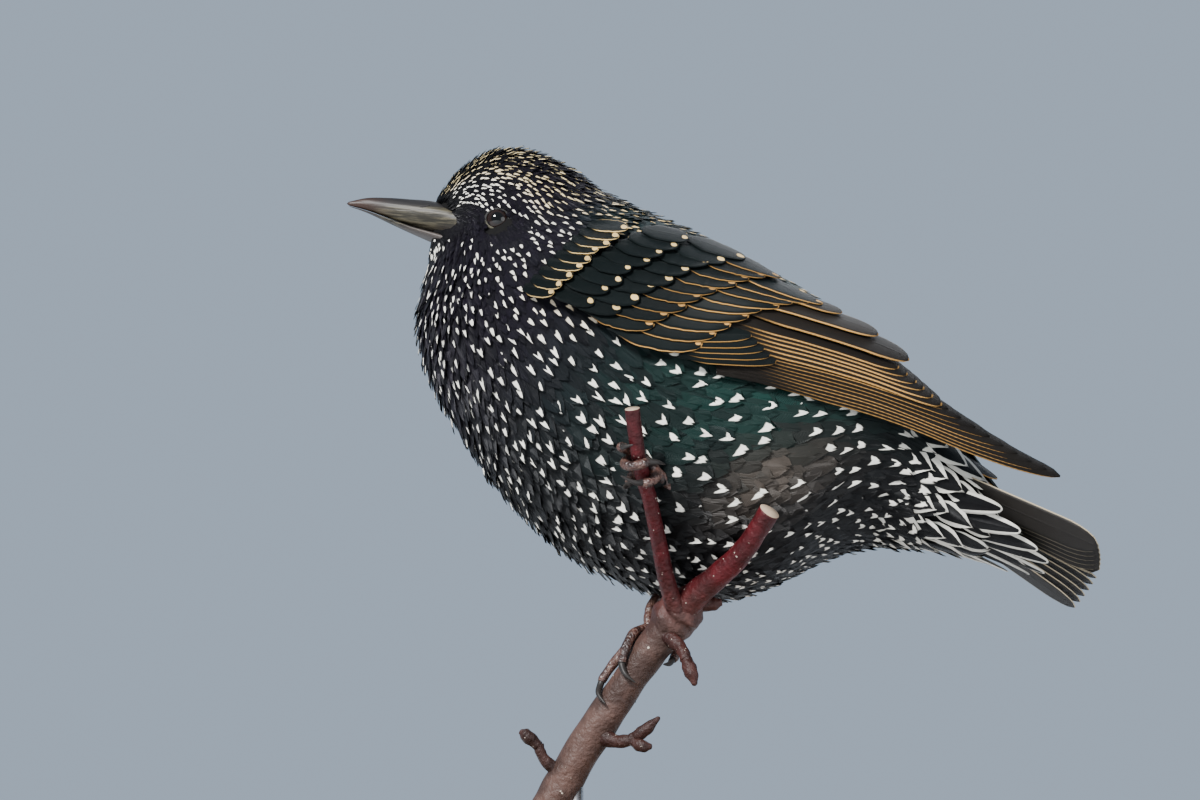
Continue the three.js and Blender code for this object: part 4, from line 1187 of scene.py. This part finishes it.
class STARLING_OT_feet(bpy.types.Operator):
    """Legs, toes with scutes, and claws"""

    bl_idname = "starling.feet"
    bl_label = "Feet"

    def execute(self, context):
        parts = context.scene.starling_parts
        skin = scale_material(parts.foot)
        horn = plain_material("Claw horn", parts.claw, 0.5, grain=900.0, specular=0.25)
        for name, stick, toes, ankle, hip in (
                ("left", NEAR_STICK, NEAR_TOES, [14.5, -34.5, -25], [20, -27, -31]),
                ("right", FAR_STICK, FAR_TOES, [12, -3.4, -51.5], [19, 6, -42])):
            feet, claws = zip(*(toe_and_claw(stick, *toe) for toe in toes))
            ball = grip_point(stick, *toes[0][0][0], TOE_OUT)
            leg = limb_mesh(np.array([ball, ankle, hip], float), [1.2, 1.15, 1.7], 18, 40, scutes)
            add_object("foot_skin_" + name, join_meshes([*feet, leg]), skin, "scaled_skin",
                       "foot_" + name, "leg_" + name)
            add_object("claw_horn_" + name, join_meshes(claws), horn, "claw",
                       *["claw_%s_%d" % (name, i + 1) for i in range(len(toes))])
        return {"FINISHED"}


class STARLING_OT_perch(bpy.types.Operator):
    """Cut branch with its fork, twigs, spurs and buds"""

    bl_idname = "starling.perch"
    bl_label = "Perch"

    def execute(self, context):
        parts = context.scene.starling_parts
        joint = tuple(0.5 * (a + b) for a, b in zip(parts.bark, parts.twig))
        bark = bark_material("Branch bark", parts.bark, joint, (-63, -50), 420.0)
        red = bark_material("Twig bark", joint, parts.twig, (-56, -44), 700.0)
        brown = bark_material("Bud bark", (0.022, 0.009, 0.007), (0.030, 0.009, 0.007), (-90, -60), 900.0)
        cut = plain_material("Cut wood", (0.30, 0.22, 0.15), 0.7, grain=300.0)
        thick = [limb_mesh(BRANCH, [4.6, 4.4, 4.1, 4.0, 4.6], 36, 90, rough, cut=True),
                 limb_mesh(FORK, [3.6, 5.6, 3.4], 28, 60, knots)]
        add_object("branch", join_meshes(thick), bark, "bark", "perch").data.materials.append(cut)
        thin = [limb_mesh(TWIG, [2.6, 2.0, 1.75, 1.7, 1.65], 24, 90, rough, cut=True),
                limb_mesh(SLANT, [3.2, 3.3, 2.6, 2.4], 24, 70, rough, cut=True)]
        add_object("twigs", join_meshes(thin), red, "bark").data.materials.append(cut)
        spurs = [limb_mesh(points, radii, 14, 24, knots) for points, radii in SPURS]
        add_object("buds", join_meshes(spurs), brown, "bark")
        return {"FINISHED"}


class STARLING_OT_stand(bpy.types.Operator):
    """Oval board and steel rod of the display stand"""

    bl_idname = "starling.stand"
    bl_label = "Stand"

    def execute(self, context):
        wood = wood_material(context.scene.starling_parts.board)
        steel = plain_material("Rod steel", (0.5, 0.5, 0.51), 0.3, 1.0, spread=0.1)
        add_object("board", self.board(), wood, "stand_wood", "stand_base")
        add_object("rod", self.rod(*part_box("stand_rod")), steel, "stand_steel", "stand_rod")
        return {"FINISHED"}

    def board(self):
        """An oval disc with rounded rims"""
        middle, size = (BASE_LOW + BASE_HIGH) / 2, BASE_HIGH - BASE_LOW
        bm = bmesh.new()
        bmesh.ops.create_cone(bm, cap_ends=True, segments=96, radius1=1, radius2=1, depth=1)
        for vert in bm.verts:
            x, y, z = vert.co
            vert.co = (middle.x + x * size.x / 2, middle.y + y * size.y / 2, middle.z + z * size.z)
        rims = [e for e in bm.edges if e.is_manifold and abs(e.verts[0].co.z - e.verts[1].co.z) < 1e-6]
        bmesh.ops.bevel(bm, geom=rims, offset=0.0014, offset_type="OFFSET", segments=3, profile=0.5,
                        affect="EDGES", material=-1)
        return to_mesh(bm)

    def rod(self, low, high):
        """A round rod that fills its box"""
        radius = (high.x - low.x) / 2
        bm = bmesh.new()
        bmesh.ops.create_cone(bm, cap_ends=True, segments=32, radius1=radius, radius2=radius,
                              depth=high.z - low.z)
        bmesh.ops.translate(bm, verts=bm.verts, vec=(low + high) / 2)
        return to_mesh(bm)


class STARLING_OT_stage(bpy.types.Operator):
    """Floor, backdrop, lights and camera"""

    bl_idname = "starling.stage"
    bl_label = "Stage"

    def execute(self, context):
        bm = bmesh.new()
        bmesh.ops.create_grid(bm, x_segments=1, y_segments=1, size=4.0)
        floor = self.link(context, "floor", to_mesh(bm))
        pale = Finish("Floor", 0.8)
        pale.give("Base Color", (0.72, 0.73, 0.74))
        floor.data.materials.append(pale.material)
        floor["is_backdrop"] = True
        world = context.scene.world or bpy.data.worlds.new("World")
        context.scene.world = world
        world.use_nodes = True
        background = world.node_tree.nodes["Background"]
        background.inputs["Color"].default_value = (0.60, 0.74, 0.92, 1)
        background.inputs["Strength"].default_value = 0.62
        self.light(context, "key", (-0.50, -0.85, 0.75), 42.0, 0.28)
        self.light(context, "fill", (0.8, -0.7, 0.25), 7.0, 0.8)
        self.light(context, "rim", (0.2, 0.9, 0.9), 3.0, 0.8)
        self.camera(context)
        return {"FINISHED"}

    def link(self, context, name, data):
        """An object in the scene"""
        made = bpy.data.objects.new(name, data)
        context.scene.collection.objects.link(made)
        return made

    def light(self, context, name, place, power, size):
        """A round lamp turned to the bird"""
        lamp = bpy.data.lights.new(name, "AREA")
        lamp.energy = power
        lamp.shape = "DISK"
        lamp.size = size
        made = self.link(context, name, lamp)
        made.location = place
        way = Vector(metres([10.0, 0, 5])) - Vector(place)
        made.rotation_euler = way.to_track_quat("-Z", "Y").to_euler()

    def camera(self, context):
        """The photo's view: from the bird's left side and a little below"""
        data = bpy.data.cameras.new("camera")
        data.sensor_fit = "HORIZONTAL"
        data.sensor_width = SENSOR
        data.lens = SENSOR * CAMERA_DISTANCE / MM_PER_PIXEL / PHOTO_WIDTH
        data.clip_start = 0.01
        made = self.link(context, "camera", data)
        out, down = CAMERA_DISTANCE * math.cos(CAMERA_TILT), CAMERA_DISTANCE * math.sin(CAMERA_TILT)
        made.location = metres([0, -out, -down])
        made.rotation_euler = (math.pi / 2 + CAMERA_TILT, 0, 0)
        context.scene.camera = made


class STARLING_PT_panel(bpy.types.Panel):
    """Lists the pieces and their values"""

    bl_label = "Starling"
    bl_space_type = "VIEW_3D"
    bl_region_type = "UI"
    bl_category = "Starling"

    def draw(self, context):
        for group in (context.scene.starling_plumage, context.scene.starling_parts):
            for key in group.__annotations__:
                self.layout.prop(group, key)
        for operator in OPERATORS:
            self.layout.operator(operator.bl_idname)


OPERATORS = (STARLING_OT_skin, STARLING_OT_coat, STARLING_OT_wings, STARLING_OT_tail, STARLING_OT_bill,
             STARLING_OT_eyes, STARLING_OT_feet, STARLING_OT_perch, STARLING_OT_stand, STARLING_OT_stage)
CLASSES = (StarlingPlumage, StarlingParts, *OPERATORS, STARLING_PT_panel)


def register():
    """Makes the operators, their values and the panel known"""
    for item in CLASSES:
        bpy.utils.register_class(item)
    bpy.types.Scene.starling_plumage = PointerProperty(type=StarlingPlumage)
    bpy.types.Scene.starling_parts = PointerProperty(type=StarlingParts)


def unregister():
    """Takes them away again"""
    del bpy.types.Scene.starling_plumage
    del bpy.types.Scene.starling_parts
    for item in reversed(CLASSES):
        bpy.utils.unregister_class(item)


def main():
    """Builds all pieces and the stage"""
    register()
    bpy.ops.starling.skin()
    bpy.ops.starling.coat()
    bpy.ops.starling.wings()
    bpy.ops.starling.tail()
    bpy.ops.starling.bill()
    bpy.ops.starling.eyes()
    bpy.ops.starling.feet()
    bpy.ops.starling.perch()
    bpy.ops.starling.stand()
    bpy.ops.starling.stage()
    listed = lambda box: [list(corner) for corner in box]
    {"cad": listed(CAD_BOX), "visual": listed(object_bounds())}


if __name__ == "__main__":
    main()
